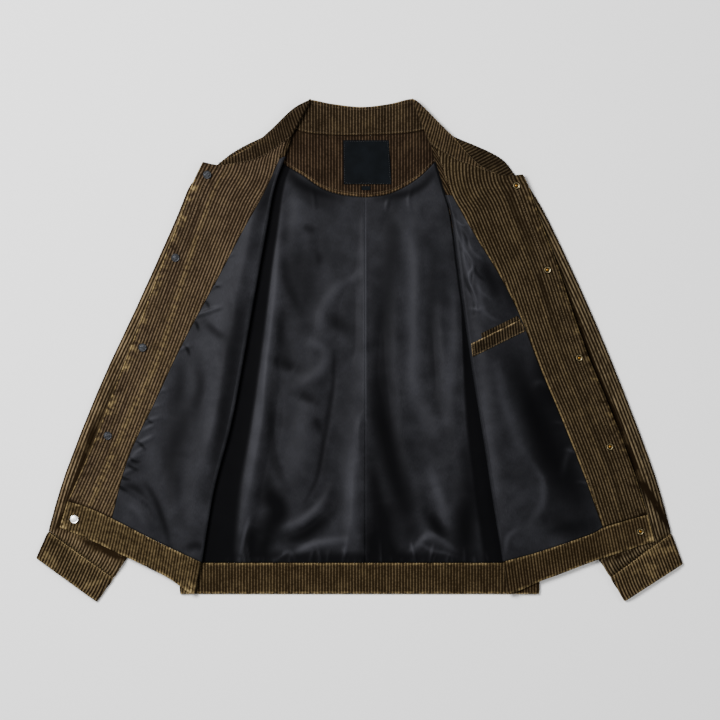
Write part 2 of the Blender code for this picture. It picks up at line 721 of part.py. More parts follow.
def make_collar():
    """From the left end, over the roll and the neck fold, along the back, and the same again."""
    neck_left = moved_aside(NECK_SEAM_LEFT, -LEG_GAP)
    neck_right = moved_aside(NECK_SEAM_RIGHT, LEG_GAP)
    wings = {}
    for side, seam in (("left", neck_left), ("right", neck_right)):
        curve = fine_line(seam)
        reach = curve[1][-1] * COLLAR_TIP_SHARE
        wings[side] = [at_length(curve, reach * i / WING_STEPS) for i in range(WING_STEPS + 1)]
    under_left = ((wings["left"][0], BACK_NECK[0]), (COLLAR_WING_LEFT[0], COLLAR_BACK_FREE[0]))
    under_right = ((BACK_NECK[-1], wings["right"][0]), (COLLAR_BACK_FREE[-1], COLLAR_WING_RIGHT[0]))
    turned = BAND_TURNED_Z + BAND_BULGE
    legs = [
        (wings["left"][::-1], COLLAR_WING_LEFT[::-1], BAND_TURNED_Z, turned, 10),
        (*under_left, BAND_UNDER_Z, BAND_UNDER_Z, 3),
        (BACK_NECK, COLLAR_BACK_FREE, BAND_BACK_Z, BAND_BACK_Z, 17),
        (*under_right, BAND_UNDER_Z, BAND_UNDER_Z, 3),
        (wings["right"], COLLAR_WING_RIGHT, turned, BAND_TURNED_Z, 10),
    ]
    band("collar", legs, COLLAR_ROWS)


def make_waistband():
    """From the left front edge, round the back, to the right front edge."""
    left = moved_aside(HEM_SEAM_LEFT, LEG_GAP)
    right = moved_aside(HEM_SEAM_RIGHT, -LEG_GAP)
    top = HEM_Y - LEG_GAP
    side_left = ((-SIDE_X, top), (-SIDE_X, BAND_FOOT_Y))
    side_right = ((SIDE_X, top), (SIDE_X, BAND_FOOT_Y))
    turned = BAND_TURNED_Z + BAND_BULGE
    legs = [
        (left[::-1], BAND_LOW_LEFT[::-1], BAND_TURNED_Z, turned, 12),
        ((left[0], side_left[0]), (BAND_LOW_LEFT[0], side_left[1]), BAND_UNDER_Z, BAND_UNDER_Z, 3),
        ((side_left[0], side_right[0]), (side_left[1], side_right[1]), BAND_BACK_Z, BAND_BACK_Z, 11),
        ((side_right[0], right[0]), (side_right[1], BAND_LOW_RIGHT[0]), BAND_UNDER_Z, BAND_UNDER_Z, 3),
        (right, BAND_LOW_RIGHT, turned, BAND_TURNED_Z, 12),
    ]
    band("waistband", legs, WAISTBAND_ROWS)


# ------------------------------------------------------------------ pocket and snaps


def turned_height(front, plan):
    """The middle of the turned front's wall at a plan point, from its distance to the roll."""
    line = fine_line(front["roll"])[0]
    nearest = min(range(len(line)), key=lambda i: (line[i] - plan).length)
    v = nearest / (len(line) - 1)
    distance = (line[nearest] - plan).length
    return TURNED_Z + bulge(v) * fade((distance - roll_radius(v)) / ROLL_BULGE_WIDTH)


def make_pocket(front):
    """The welt, and the strip of cloth that shows above it in the pocket's mouth."""

    def on_lining(plan):
        return turned_height(front, plan) + WELT_OUT

    plate("pocket_welt", WELT_CORNERS, on_lining, FACING, "corduroy", steps=WELT_STEPS)
    plate("pocket_backing", BACKING_CORNERS, on_lining, FACING, "corduroy", steps=BACKING_STEPS)


def make_snaps(name, places, shape, finish):
    """Turned metal snaps along a front. The lowest one is on the waistband."""
    facing_top = TURNED_Z + FACING_OUT + FACING / 2
    band_top = BAND_TURNED_Z + BAND / 2
    for i, (x, y) in enumerate(places):
        base = band_top if i == len(places) - 1 else facing_top
        shape(f"{name}_{i + 1}", Vector((x, y, base + SEAM)), finish)


def snap_cap(name, place, finish):
    """A round cap with a small bevelled edge."""
    bpy.ops.mesh.primitive_cylinder_add(
        vertices=SNAP_SIDES,
        radius=SNAP_CAP["radius"] * MM,
        depth=SNAP_CAP["height"] * MM,
        location=(place + Vector((0, 0, SNAP_CAP["height"] / 2))) * MM,
    )
    obj = bpy.context.object
    obj.name = name
    obj.data.materials.append(finish_of(finish))
    edge = obj.modifiers.new("Edge", "BEVEL")
    edge.width = SNAP_CAP["edge"] * MM
    edge.segments = 1
    edge.limit_method = "ANGLE"
    for home in list(obj.users_collection):
        home.objects.unlink(obj)
    jacket.objects.link(obj)


def snap_socket(name, place, finish):
    """A turned ring around a sunk floor."""
    size = SNAP_SOCKET
    profile = (
        (0.0, size["floor"]),
        (size["lip"] - size["slope"], size["floor"]),
        (size["lip"], size["height"]),
        (size["radius"] - size["slope"], size["height"]),
        (size["radius"], size["side"]),
        (size["radius"], 0.0),
        (0.0, 0.0),
    )
    mesh = bpy.data.meshes.new(name)
    points = [(r * MM, 0.0, z * MM) for r, z in profile]
    mesh.from_pydata(points, [(i, i + 1) for i in range(len(points) - 1)], [])
    obj = add_object(name, mesh, finish)
    obj.location = place * MM
    turn = obj.modifiers.new("Turn", "SCREW")
    turn.steps = SNAP_SIDES
    turn.render_steps = SNAP_SIDES
    turn.use_merge_vertices = True
    turn.merge_threshold = 1e-6


# ------------------------------------------------------------------ the jacket

for old in list(bpy.data.objects):
    bpy.data.objects.remove(old, do_unlink=True)
jacket = bpy.data.collections.new("corduroy_jacket")
bpy.context.scene.collection.children.link(jacket)

make_back()
make_back_lining("back_lining_left", -1)
make_back_lining("back_lining_right", 1)
make_neck_facing()
make_labels()

front_left = front_lines(FRONT_LEFT, NECK_SEAM_LEFT, HEM_SEAM_LEFT)
front_right = front_lines(FRONT_RIGHT, NECK_SEAM_RIGHT, HEM_SEAM_RIGHT)
make_shoulder("shoulder_left", SHOULDER_LEFT, front_left, left=True)
make_shoulder("shoulder_right", SHOULDER_RIGHT, front_right, left=False)
for side, front in (("left", front_left), ("right", front_right)):
    make_front(f"front_{side}", front, side == "left")
    make_facing(f"facing_{side}", front, side == "left")
    make_front_lining(f"front_lining_{side}", front, side == "left")

tube("sleeve_left", SLEEVE_LEFT, SLEEVE_SECTIONS, SLEEVE_HEIGHT, CORDUROY, SLEEVE_FOLDS)
tube("sleeve_right", SLEEVE_RIGHT, SLEEVE_SECTIONS, SLEEVE_HEIGHT, CORDUROY, SLEEVE_FOLDS)
make_cuff("cuff_left", SLEEVE_LEFT, CUFF_OPENING_LEFT)
make_cuff("cuff_right", SLEEVE_RIGHT, CUFF_OPENING_RIGHT)
make_collar()
make_waistband()
make_pocket(front_right)
make_snaps("snap_left", SNAPS_LEFT, snap_cap, "grey_metal")
make_snaps("snap_right", SNAPS_RIGHT, snap_socket, "brass")
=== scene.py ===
"""A wide-wale corduroy jacket laid open on its back, with both fronts rolled outward.

Tables are in millimetres and the scene is in metres, with +Z up. Each section makes one piece, or
a group of like pieces, on the form of the CAD solids that it replaces.
"""

import math

import bpy
import numpy as np
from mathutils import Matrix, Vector


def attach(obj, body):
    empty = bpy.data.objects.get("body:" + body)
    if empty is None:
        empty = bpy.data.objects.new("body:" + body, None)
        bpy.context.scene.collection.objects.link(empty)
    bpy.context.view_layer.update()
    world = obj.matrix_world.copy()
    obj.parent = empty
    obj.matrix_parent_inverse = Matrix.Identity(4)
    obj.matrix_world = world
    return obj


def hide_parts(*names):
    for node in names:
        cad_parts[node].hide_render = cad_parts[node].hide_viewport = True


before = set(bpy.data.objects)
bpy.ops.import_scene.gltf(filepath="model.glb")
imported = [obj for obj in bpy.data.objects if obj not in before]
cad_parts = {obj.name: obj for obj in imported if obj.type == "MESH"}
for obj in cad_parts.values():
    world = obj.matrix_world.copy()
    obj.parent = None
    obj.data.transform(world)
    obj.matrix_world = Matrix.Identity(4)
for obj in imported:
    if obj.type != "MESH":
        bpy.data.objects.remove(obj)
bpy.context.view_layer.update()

# ------------------------------------------------------------------ studio
# The jacket lies on a pale floor. A large soft box stands to its upper left and weaker ones to
# its right and below. The camera looks straight down from far away, so it sees the jacket in plan.

MM = 0.001
VIEW_WIDTH = 1044.0
VIEW_CENTRE = (0.7, -14.5)
LENS = 200.0
SENSOR = 36.0
FLOOR_SIZE = 9000.0
FLOOR_Z = -0.4
CORNERS = ((-1, -1), (1, -1), (1, 1), (-1, 1))
FLOOR_COLOUR = (0.93, 0.93, 0.93, 1.0)
SKY_COLOUR = (1.0, 1.0, 1.0, 1.0)
SKY_STRENGTH = 0.16
SOFT_BOXES = (
    # name        place                    size    power
    ("key_box", (-1180, 760, 2300), 1150, 150),
    ("side_box", (2100, 300, 1700), 1300, 26),
    ("low_box", (-300, -2300, 1500), 1300, 16),
)

view = bpy.data.cameras.new("camera")
view.lens = LENS
view.sensor_width = SENSOR
view.clip_end = 100.0
camera = bpy.data.objects.new("camera", view)
camera.location = (VIEW_CENTRE[0] * MM, VIEW_CENTRE[1] * MM, VIEW_WIDTH * LENS / SENSOR * MM)
bpy.context.collection.objects.link(camera)
bpy.context.scene.camera = camera

for name, place, size, power in SOFT_BOXES:
    lamp = bpy.data.lights.new(name, "AREA")
    lamp.size = size * MM
    lamp.energy = power
    soft_box = bpy.data.objects.new(name, lamp)
    soft_box.location = Vector(place) * MM
    soft_box.rotation_euler = (-Vector(place)).to_track_quat("-Z", "Y").to_euler()
    bpy.context.collection.objects.link(soft_box)

sky = bpy.data.worlds.new("studio")
sky.use_nodes = True
sky.node_tree.nodes["Background"].inputs["Color"].default_value = SKY_COLOUR
sky.node_tree.nodes["Background"].inputs["Strength"].default_value = SKY_STRENGTH
bpy.context.scene.world = sky


def add_node(tree, kind, inputs=(), **settings):
    """A node of that kind, with its settings, and its inputs set to values or joined to sockets."""
    made = tree.nodes.new(kind)
    for name, value in settings.items():
        setattr(made, name, value)
    for name, value in dict(inputs).items():
        if isinstance(value, bpy.types.NodeSocket):
            tree.links.new(value, made.inputs[name])
        else:
            made.inputs[name].default_value = value
    return made


def new_material(name, look, **constants):
    """A material whose shader has these constant values. look joins the rest to the shader."""
    material = bpy.data.materials.new(name)
    material.use_nodes = True
    shader = material.node_tree.nodes["Principled BSDF"]
    for socket, value in constants.items():
        shader.inputs[socket.replace("_", " ")].default_value = value
    look(material.node_tree, shader)
    return material


def paper_look(tree, shader):
    """Pale seamless paper, very slightly uneven."""
    grain = add_node(tree, "ShaderNodeTexNoise", {"Scale": 3.0, "Detail": 4.0})
    tone = add_node(
        tree, "ShaderNodeMapRange", {"Value": grain.outputs["Fac"], "To Min": 0.97, "To Max": 1.0}
    )
    colour = add_node(
        tree, "ShaderNodeMix", {0: 1.0, 6: FLOOR_COLOUR, 7: tone.outputs["Result"]},
        data_type="RGBA", blend_type="MULTIPLY",
    )
    tree.links.new(colour.outputs[2], shader.inputs["Base Color"])


floor_mesh = bpy.data.meshes.new("floor")
half = FLOOR_SIZE / 2 * MM
floor_mesh.from_pydata(
    [(x * half, y * half, FLOOR_Z * MM) for x, y in CORNERS],
    [],
    [(0, 1, 2, 3)],
)
floor_mesh.materials.append(new_material("paper", paper_look, Roughness=0.9, Specular_IOR_Level=0.2))
floor = bpy.data.objects.new("floor", floor_mesh)
bpy.context.collection.objects.link(floor)

# ------------------------------------------------------------------ corduroy and the back
# The back is one flat panel of wide-wale cotton corduroy, from the hem seam to the neck. Its ribs
# run up and down on its outer side, which is the side that the jacket lies on.

RIB_PITCH = 4.35
RIB_HEIGHT = 1.05
RIB_CREST = 0.2  # how far a crest stands over the solid's surface
RIB_SAMPLES = 7  # points across a rib
RIB_STEP = RIB_PITCH / RIB_SAMPLES
PILE_BUMP = 0.0003  # metres
BACK_ROWS = 14
CURVE_STEPS = 161
CORDUROY = 1.8
HEM_Y = -308.5
SIDE_X = 259.5
UNDERARM_Y = 29.0
SHOULDER_TIP = (225.5, 249.0)
SHOULDER_LEFT = (
    (-113, 322), (-132.5, 313), (-147, 304), (-160, 299.5), (-185, 285.5), (-206.5, 268), (-225.5, 249),
)
SHOULDER_RIGHT = (
    (113, 322.5), (125, 317), (138.5, 308.5), (163, 298.5), (189, 287), (209.5, 274), (225.5, 253),
)
BACK_NECK = (
    (-109.5, 326), (-93.5, 320.5), (-72, 315), (-30, 312), (20, 312.5), (66, 315), (95, 320.5), (110.5, 326),
)
SEAM_GAP = 0.2  # between the panels and the bands sewn to them
OLIVE_CREST = (0.062, 0.044, 0.024, 1.0)
OLIVE_VALLEY = (0.0046, 0.0024, 0.0009, 1.0)
WORN_GOLD = (0.19, 0.135, 0.064, 1.0)


def along(points, share):
    """Points at shares of the way along a smooth curve with its points evenly spaced."""
    points = np.asarray(points, float)
    last = len(points) - 1
    at = np.clip(np.asarray(share, float), 0, 1) * last
    i = np.minimum(at.astype(int), last - 1)
    f = (at - i)[..., None]
    b, c = points[i], points[i + 1]
    a = np.where((i > 0)[..., None], points[np.maximum(i - 1, 0)], 2 * b - c)
    d = np.where((i + 2 <= last)[..., None], points[np.minimum(i + 2, last)], 2 * c - b)
    return (2 * b + (c - a) * f + (2 * a - 5 * b + 4 * c - d) * f**2 + (3 * b - a - 3 * c + d) * f**3) / 2


def fine_curve(points):
    return along(points, np.linspace(0, 1, CURVE_STEPS))


def pieces_of(line):
    """The lengths of a line's straight pieces."""
    return np.linalg.norm(np.diff(line, axis=0), axis=1)


def curve_length(points):
    return pieces_of(fine_curve(points)).sum()


def run_along(line):
    """The length run at each point of a line."""
    return np.concatenate(([0], np.cumsum(pieces_of(line))))


def at_run(line, run, at):
    """Points of a line where these lengths are run."""
    return np.stack([np.interp(at, run, line[:, k]) for k in range(line.shape[1])], axis=-1)


def by_length(points, share):
    """Points at shares of the length along the smooth curve."""
    fine = fine_curve(points)
    run = run_along(fine)
    return at_run(fine, run, np.clip(np.asarray(share, float), 0, 1) * run[-1])


def moved_aside(points, distance):
    """The plan curve moved to its left by a distance."""
    points = np.asarray(points, float)
    slope = np.empty_like(points)
    slope[1:-1] = points[2:] - points[:-2]
    slope[0] = points[1] - points[0]
    slope[-1] = points[-1] - points[-2]
    slope /= np.linalg.norm(slope, axis=1, keepdims=True)
    return points + np.stack((-slope[:, 1], slope[:, 0]), axis=1) * distance


def fade(share):
    """1 at 0, falling smoothly to 0 at 1 and beyond."""
    return (1 + np.cos(np.pi * np.minimum(np.abs(share), 1.0))) / 2


def bell(distance, width):
    """1 at distance 0, dying away on both sides over about twice the width."""
    return np.exp(-((distance / width) ** 2))


def nearest(plan, line):
    """From plan points to a plan line of straight pieces: the distance, and the length run there."""
    line = np.asarray(line, float)
    best = np.full(plan.shape[:-1], np.inf)
    where = np.zeros(plan.shape[:-1])
    run = 0.0
    for start, end in zip(line, line[1:]):
        step = end - start
        length = math.hypot(*step)
        share = np.clip(((plan - start) @ step) / length**2, 0, 1)
        distance = np.linalg.norm(plan - start - share[..., None] * step, axis=-1)
        closer = distance < best
        best = np.where(closer, distance, best)
        where = np.where(closer, run + share * length, where)
        run += length
    return best, where


def chance(number):
    """A fixed number from 0 to 1 for each whole number."""
    return np.mod(np.sin(number * 12.9898) * 43758.5453, 1.0)


def ribs(count, length):
    """The height of the ribs where this many ribs are counted across, at a length along them."""
    rib = np.round(count)
    across = 2 * np.abs(count - rib)
    own = chance(rib) * 2 * math.pi
    uneven = 0.88 + 0.07 * np.sin(length / 9 + own) + 0.05 * np.sin(length / 3.9 + 3 * own)
    return RIB_HEIGHT * (1 - across**2.3) * uneven - RIB_HEIGHT + RIB_CREST


def standing(grid):
    """The unit normals of a grid of points."""
    normal = np.cross(np.gradient(grid, axis=1), np.gradient(grid, axis=0))
    return normal / np.maximum(np.linalg.norm(normal, axis=-1, keepdims=True), 1e-9)


def lengths(grid, axis):
    """The length run along a grid's rows (axis 1) or columns (axis 0)."""
    step = np.linalg.norm(np.diff(grid, axis=axis), axis=-1)
    zero = np.zeros_like(step[:, :1] if axis else step[:1])
    return np.concatenate((zero, np.cumsum(step, axis=axis)), axis=axis)


def from_ends(grid, axis=0):
    """The distance from the nearer end of a grid's rows (axis 1) or columns (axis 0)."""
    run = lengths(grid, axis)
    return np.minimum(run, (run[:, -1:] if axis else run[-1:]) - run)


def at_height(plan, height):
    """Points of the plan at a height, or each at its own."""
    height = np.broadcast_to(height, plan.shape[:-1])
    return np.concatenate((plan, height[..., None]), axis=-1)


def panel_grid(size, top, foot_start, foot_width, foot_y, gap=0.0):
    """A grid, of size rows and columns, from a straight foot to a gap below its top line."""
    rows, columns = np.linspace(0, 1, size[0])[:, None], np.linspace(0, 1, size[1])
    corners = np.linspace(0, 1, len(top))
    foot_x = foot_start + foot_width * columns
    grid = np.zeros((*size, 3))
    grid[..., 0] = foot_x + (np.interp(columns, corners, top[:, 0]) - foot_x) * rows
    grid[..., 1] = foot_y + (np.interp(columns, corners, top[:, 1]) - gap - foot_y) * rows
    return grid


def quads(ids):
    return np.stack((ids[:-1, :-1], ids[:-1, 1:], ids[1:, 1:], ids[1:, :-1]), axis=-1).reshape(-1, 4)


def ring_faces(rings, sides):
    """The faces of a body of rings of points, closed at both ends."""
    ids = np.arange(rings * sides).reshape(rings, sides)
    wrapped = np.concatenate((ids, ids[:, :1]), axis=1)
    return quads(wrapped)[:, ::-1].tolist() + [ids[0].tolist(), ids[-1][::-1].tolist()]


def closed(face, back, keep):
    """A wall of cloth: a fine face, a back on some of its rows and columns, and the edge between.

    The third result says which point of the face each point belongs to.
    """
    rows, columns = (
        np.unique(np.linspace(0, count - 1, kept).round().astype(int))
        for count, kept in zip(face.shape, keep)
    )
    high = np.arange(face[..., 0].size).reshape(face.shape[:2])
    low = high.size + np.arange(len(rows) * len(columns)).reshape(len(rows), len(columns))
    corner = np.ix_(rows, columns)
    points = np.concatenate((face.reshape(-1, 3), back[corner].reshape(-1, 3)))
    faces = quads(high).tolist() + quads(low)[:, ::-1].tolist()
    for j, (a, b) in enumerate(zip(columns, columns[1:])):
        faces.append([*high[0, a : b + 1][::-1].tolist(), int(low[0, j]), int(low[0, j + 1])])
        faces.append([*high[-1, a : b + 1].tolist(), int(low[-1, j + 1]), int(low[-1, j])])
    for j, (a, b) in enumerate(zip(rows, rows[1:])):
        faces.append([*high[a : b + 1, 0].tolist(), int(low[j + 1, 0]), int(low[j, 0])])
        faces.append([*high[a : b + 1, -1][::-1].tolist(), int(low[j, -1]), int(low[j + 1, -1])])
    return points, faces, np.concatenate((high.ravel(), high[corner].ravel()))


def add_piece(name, parts, material):
    """One object from parts, each of points, faces and the values of its points: rib count, length, and wear
    with painted shade.
    """
    points = np.concatenate([part[0] for part in parts])
    values = np.concatenate([part[2] for part in parts])
    faces = []
    start = 0
    for part in parts:
        faces += [[number + start for number in face] for face in part[1]]
        start += len(part[0])
    mesh = bpy.data.meshes.new(name)
    mesh.from_pydata((points * MM).tolist(), [], faces)
    mesh.shade_smooth()
    corners = np.empty(len(mesh.loops), int)
    mesh.loops.foreach_get("vertex_index", corners)
    mesh.uv_layers.new(name="ribs").data.foreach_set("uv", values[corners, :2].ravel())
    mesh.attributes.new("wear_and_shade", "FLOAT", "POINT").data.foreach_set("value", values[:, 2])
    mesh.materials.append(material)
    obj = bpy.data.objects.new(name, mesh)
    bpy.context.collection.objects.link(obj)
    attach(obj, "root")
    return obj


def wall_part(grid, wall, count, wear_and_shade=0.0, relief=None, keep=(24, 24)):
    """A part for add_piece from a grid on the middle of a wall of cloth, and its face's points."""
    length = lengths(grid, 0)
    if relief is None:
        relief = ribs(count, length)
    normal = standing(grid)
    face = grid + normal * (wall / 2 + relief)[..., None]
    points, faces, source = closed(face, grid - normal * wall / 2, keep)
    values = np.stack(np.broadcast_arrays(count, length, wear_and_shade), axis=-1).reshape(-1, 3)
    return (points, faces, values[source]), face


def new_group(name, inputs, outputs):
    """A shader node group with these named sockets, and its input and output nodes."""
    group = bpy.data.node_groups.new(name, "ShaderNodeTree")
    for way, sockets in (("INPUT", inputs), ("OUTPUT", outputs)):
        for socket, kind in sockets.items():
            group.interface.new_socket(socket, in_out=way, socket_type=f"NodeSocket{kind}")
    return group, group.nodes.new("NodeGroupInput"), group.nodes.new("NodeGroupOutput")


def maths(tree, operation, a, b=0.0, c=0.0):
    return add_node(tree, "ShaderNodeMath", {0: a, 1: b, 2: c}, operation=operation).outputs[0]


def times(tree, a, b):
    return maths(tree, "MULTIPLY", a, b)


def mixed(tree, share, a, b, blend_type="MIX"):
    inputs = {0: share, 6: a, 7: b}
    return add_node(tree, "ShaderNodeMix", inputs, data_type="RGBA", blend_type=blend_type).outputs[2]


def spread(tree, value, low, high, to_low=0.0, to_high=1.0):
    """The value's range moved smoothly onto another."""
    inputs = {"Value": value, "From Min": low, "From Max": high, "To Min": to_low, "To Max": to_high}
    return add_node(tree, "ShaderNodeMapRange", inputs, interpolation_type="SMOOTHSTEP").outputs["Result"]


def noise(tree, place, scale, detail=3.0):
    inputs = {"Vector": place, "Scale": scale, "Detail": detail}
    return add_node(tree, "ShaderNodeTexNoise", inputs).outputs["Fac"]


def placed(tree, x, y):
    return add_node(tree, "ShaderNodeCombineXYZ", {"X": x, "Y": y}).outputs[0]


def own_place(tree):
    return add_node(tree, "ShaderNodeTexCoord").outputs["Object"]


def covered(tree, shader, colour, height, strength):
    """The shader given a colour, and a bump of a height in metres."""
    bump = add_node(tree, "ShaderNodeBump", {"Height": height, "Distance": 1.0, "Strength": strength})
    tree.links.new(colour, shader.inputs["Base Color"])
    tree.links.new(bump.outputs["Normal"], shader.inputs["Normal"])


def make_corduroy_group():
    """Ribs of pile: dark between them, paler on their crests, gold where they are worn, and darker where
    painted shade is given below 0.
    """
    group, given, result = new_group(
        "corduroy",
        {"Crest": "Color", "Valley": "Color", "Worn": "Color", "Rubbed": "Float"},
        {"Color": "Color", "Rib": "Float", "Pile": "Float"},
    )
    ribs_map = add_node(group, "ShaderNodeUVMap", uv_map="ribs").outputs["UV"]
    apart = add_node(group, "ShaderNodeSeparateXYZ", {"Vector": ribs_map})
    count, length = apart.outputs["X"], apart.outputs["Y"]
    number = maths(group, "ROUND", count)
    across = times(group, maths(group, "ABSOLUTE", maths(group, "SUBTRACT", count, number)), 2.0)
    rib = maths(group, "SUBTRACT", 1.0, maths(group, "POWER", across, 2.0))
    wear_and_shade = add_node(group, "ShaderNodeAttribute", attribute_name="wear_and_shade").outputs["Fac"]

    def rib_noise(per_rib, per_mm, detail=3.0):
        across_it = times(group, count, per_rib)
        return noise(group, placed(group, across_it, times(group, length, per_mm)), 1.0, detail)

    number_place = times(group, number, 7.31)
    streaks = noise(group, placed(group, number_place, times(group, length, 0.035)), 1.0)
    tufts = rib_noise(4.0, 0.9)
    flecks = rib_noise(1.9, 0.34, 2.0)
    place = own_place(group)
    clouds = noise(group, place, 14.0)
    patches = noise(group, place, 42.0, 4.0)
    crest = spread(group, across, 0.74, 0.0)
    for pattern, low, high, least, most in (
        (streaks, 0.25, 0.75, 0.55, 1.25),
        (tufts, 0.2, 0.8, 0.65, 1.25),
        (flecks, 0.3, 0.7, 0.5, 1.5),
        (clouds, 0.3, 0.7, 0.82, 1.12),
        (patches, 0.3, 0.6, 0.84, 1.08),
        # painted shade: below 0 the crests darken towards the valley colour
        (wear_and_shade, -1.0, 0.0, 0.0, 1.0),
    ):
        crest = times(group, crest, spread(group, pattern, low, high, least, most))
    colour = mixed(group, crest, given.outputs["Valley"], given.outputs["Crest"])
    marks = rib_noise(0.45, 0.16, 2.0)
    worn = times(group, wear_and_shade, spread(group, marks, 0.35, 0.62, 0.1, 1.3))
    rubbed = times(group, given.outputs["Rubbed"], spread(group, patches, 0.52, 0.66))
    worn = maths(group, "MAXIMUM", worn, rubbed)
    worn = times(group, worn, spread(group, flecks, 0.25, 0.7, 0.55, 1.2))
    worn = times(group, worn, spread(group, across, 1.0, 0.25, 0.12, 1.0))
    worn = add_node(group, "ShaderNodeClamp", {"Value": worn}).outputs[0]
    colour = mixed(group, worn, colour, given.outputs["Worn"])
    group.links.new(colour, result.inputs["Color"])
    group.links.new(rib, result.inputs["Rib"])
    group.links.new(tufts, result.inputs["Pile"])
    return group


def corduroy(name, crest, valley, worn, rubbed=0.06, rib_bump=0.0):
    """A corduroy finish. rib_bump is the height in metres of ribs that the mesh doesn't have."""

    def look(tree, shader):
        cloth = add_node(tree, "ShaderNodeGroup", node_tree=corduroy_group)
        for socket, colour in (("Crest", crest), ("Valley", valley), ("Worn", worn)):
            cloth.inputs[socket].default_value = colour
        cloth.inputs["Rubbed"].default_value = rubbed
        height = times(tree, cloth.outputs["Pile"], PILE_BUMP)
        if rib_bump:
            height = maths(tree, "MULTIPLY_ADD", cloth.outputs["Rib"], rib_bump, height)
        covered(tree, shader, cloth.outputs["Color"], height, 0.7)

    return new_material(
        name, look, Roughness=0.92, Specular_IOR_Level=0.04, Sheen_Weight=0.02, Sheen_Roughness=0.45,
        Sheen_Tint=(0.75, 0.6, 0.35, 1.0),
    )


corduroy_group = make_corduroy_group()
olive_corduroy = corduroy("olive_corduroy", OLIVE_CREST, OLIVE_VALLEY, WORN_GOLD)

left_side = np.linspace((-SIDE_X, UNDERARM_Y), (-SHOULDER_TIP[0], SHOULDER_TIP[1]), 5)[:4]
right_side = np.linspace((SHOULDER_TIP[0], SHOULDER_TIP[1]), (SIDE_X, UNDERARM_Y), 5)[1:]
back_top = np.concatenate((
    left_side,
    by_length(SHOULDER_LEFT[::-1], np.linspace(0, 1, 6)),
    by_length(moved_aside(BACK_NECK, -SEAM_GAP), np.linspace(0, 1, 11))[1:-1],
    by_length(SHOULDER_RIGHT[:-1] + (SHOULDER_TIP,), np.linspace(0, 1, 6)),
    right_side,
))
back_size = (BACK_ROWS, int(2 * SIDE_X / RIB_STEP))
back_grid = panel_grid(back_size, back_top, -SIDE_X, 2 * SIDE_X, HEM_Y)
back_grid[..., 2] = CORDUROY / 2
back_grid = back_grid[:, ::-1]  # so that its face is the side below
count = back_grid[..., 0] / RIB_PITCH
relief = ribs(count, back_grid[..., 1]) - RIB_CREST
back_part, _ = wall_part(back_grid, CORDUROY, count, relief=relief, keep=(12, 60))
back_panel = add_piece("back_panel", [back_part], olive_corduroy)
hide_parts("back")

# ------------------------------------------------------------------ the fronts' form
# Each front is one panel that runs in from its side seam below, turns over at a soft roll and
# lies outward on itself and the sleeve, inner side up. Its front edge curls up a little.

SEAM = 0.3
SATIN = 1.0
FACING = 1.6
UNDER_Z = CORDUROY + 2 * (SEAM + SATIN) + SEAM + CORDUROY / 2
SLEEVE_HEIGHT = UNDER_Z + CORDUROY / 2
TURNED_Z = SLEEVE_HEIGHT + 0.4 + CORDUROY / 2
LINING_OUT = CORDUROY / 2 + SEAM + SATIN / 2
FACING_OUT = CORDUROY / 2 + SEAM + FACING / 2
ROLL_BULGE = 5.0
ROLL_BULGE_WIDTH = 46.0
ROLL_LIFT = 1.5
ROLL_LIFT_WIDTH = 22.0
RIDGE_HEIGHT = 5.0  # of the slack cloth that stands up beside the roll
RIDGE_DISTANCE = 27.0
RIDGE_NEAR_WIDTH = 25.0
RIDGE_FAR_WIDTH = 66.0
RIDGE_TOP_SHARE = 0.86
SIDE_CURL = UNDER_Z - CORDUROY - 1.4 * SEAM
UNDERARM_SHARE = 3.6 / 8
ARMHOLE_FADE = 0.06
EDGE_CURL_WIDTH = 13.0
ROLL_STEPS = 14
FRONT_RIB_BUMP = 0.0007  # metres, on the fronts, which the facings and linings cover
FRONT_TABLE = {
    "left": (
        # section      edge_x  edge_y  roll_x  roll_y  side_x  side_y  seam_share  edge_curl
        ("hem", -422.5, -219, -230, -307, -259.5, -308, 0.677, 0),
        ("low", -387, -138, -212.5, -203, -259.5, -203, 0.705, 3.4),
        ("pocket", -356, -58, -188, -109, -259.5, -109, 0.650, 4),
        ("waist", -325.5, 20.5, -170.5, -17.5, -259.5, -22, 0.579, 2.2),
        ("underarm", -298, 94, -154.5, 74, -257, 46.5, 0.455, 1.4),
        ("chest", -270.5, 165, -137, 171, -247, 109, 0.283, 2),
        ("upper chest", -245, 233.5, -124, 239, -237.5, 167, 0.095, 1),
        ("top snap", -235.5, 255.5, -105, 290, -230.5, 210, 0.060, 0.6),
        ("neck", -227, 272.5, -100, 308, -226, 238.5, 0.050, 0),
    ),
    "right": (
        ("hem", 417, -238, 209.5, -306, 259.5, -308, 0.692, 0),
        ("low", 393.5, -164, 195, -217.5, 259.5, -203, 0.657, 3),
        ("pocket", 362, -82.5, 180.5, -123, 259.5, -109, 0.616, 4),
        ("waist", 333, -13, 166, -35, 259.5, -22, 0.570, 4),
        ("underarm", 306.5, 62.5, 153, 55, 257, 46.5, 0.500, 3),
        ("chest", 285, 127.5, 143, 127.5, 247, 109, 0.362, 1.6),
        ("upper chest", 261.5, 190, 134, 196, 237.5, 167, 0.142, 1),
        ("top snap", 247, 232, 122.5, 235, 230.5, 210, 0.060, 0.5),
        ("neck", 236.5, 254.5, 104, 296, 226, 238.5, 0.050, 0),
    ),
}
NECK_SEAM = {
    "left": (
        (-100, 308), (-111, 298.5), (-132.5, 284), (-157, 274), (-185, 269.5), (-206, 268), (-227, 272.5),
    ),
    "right": (
        (104, 296), (118, 288), (138.5, 275.5), (160, 268), (187, 258.5), (211, 252.5), (236.5, 254.5),
    ),
}
HEM_SEAM = {
    "left": ((-230, -307), (-302.5, -272.5), (-359, -243.5), (-393.5, -228), (-422.5, -219)),
    "right": ((209.5, -306), (262, -291.5), (334, -267), (353, -257), (382, -248), (417, -238)),
}
FRONT_SHARES = np.linspace(0.0003, 0.9997, 96)[:, None]  # of its height, clear of the bands


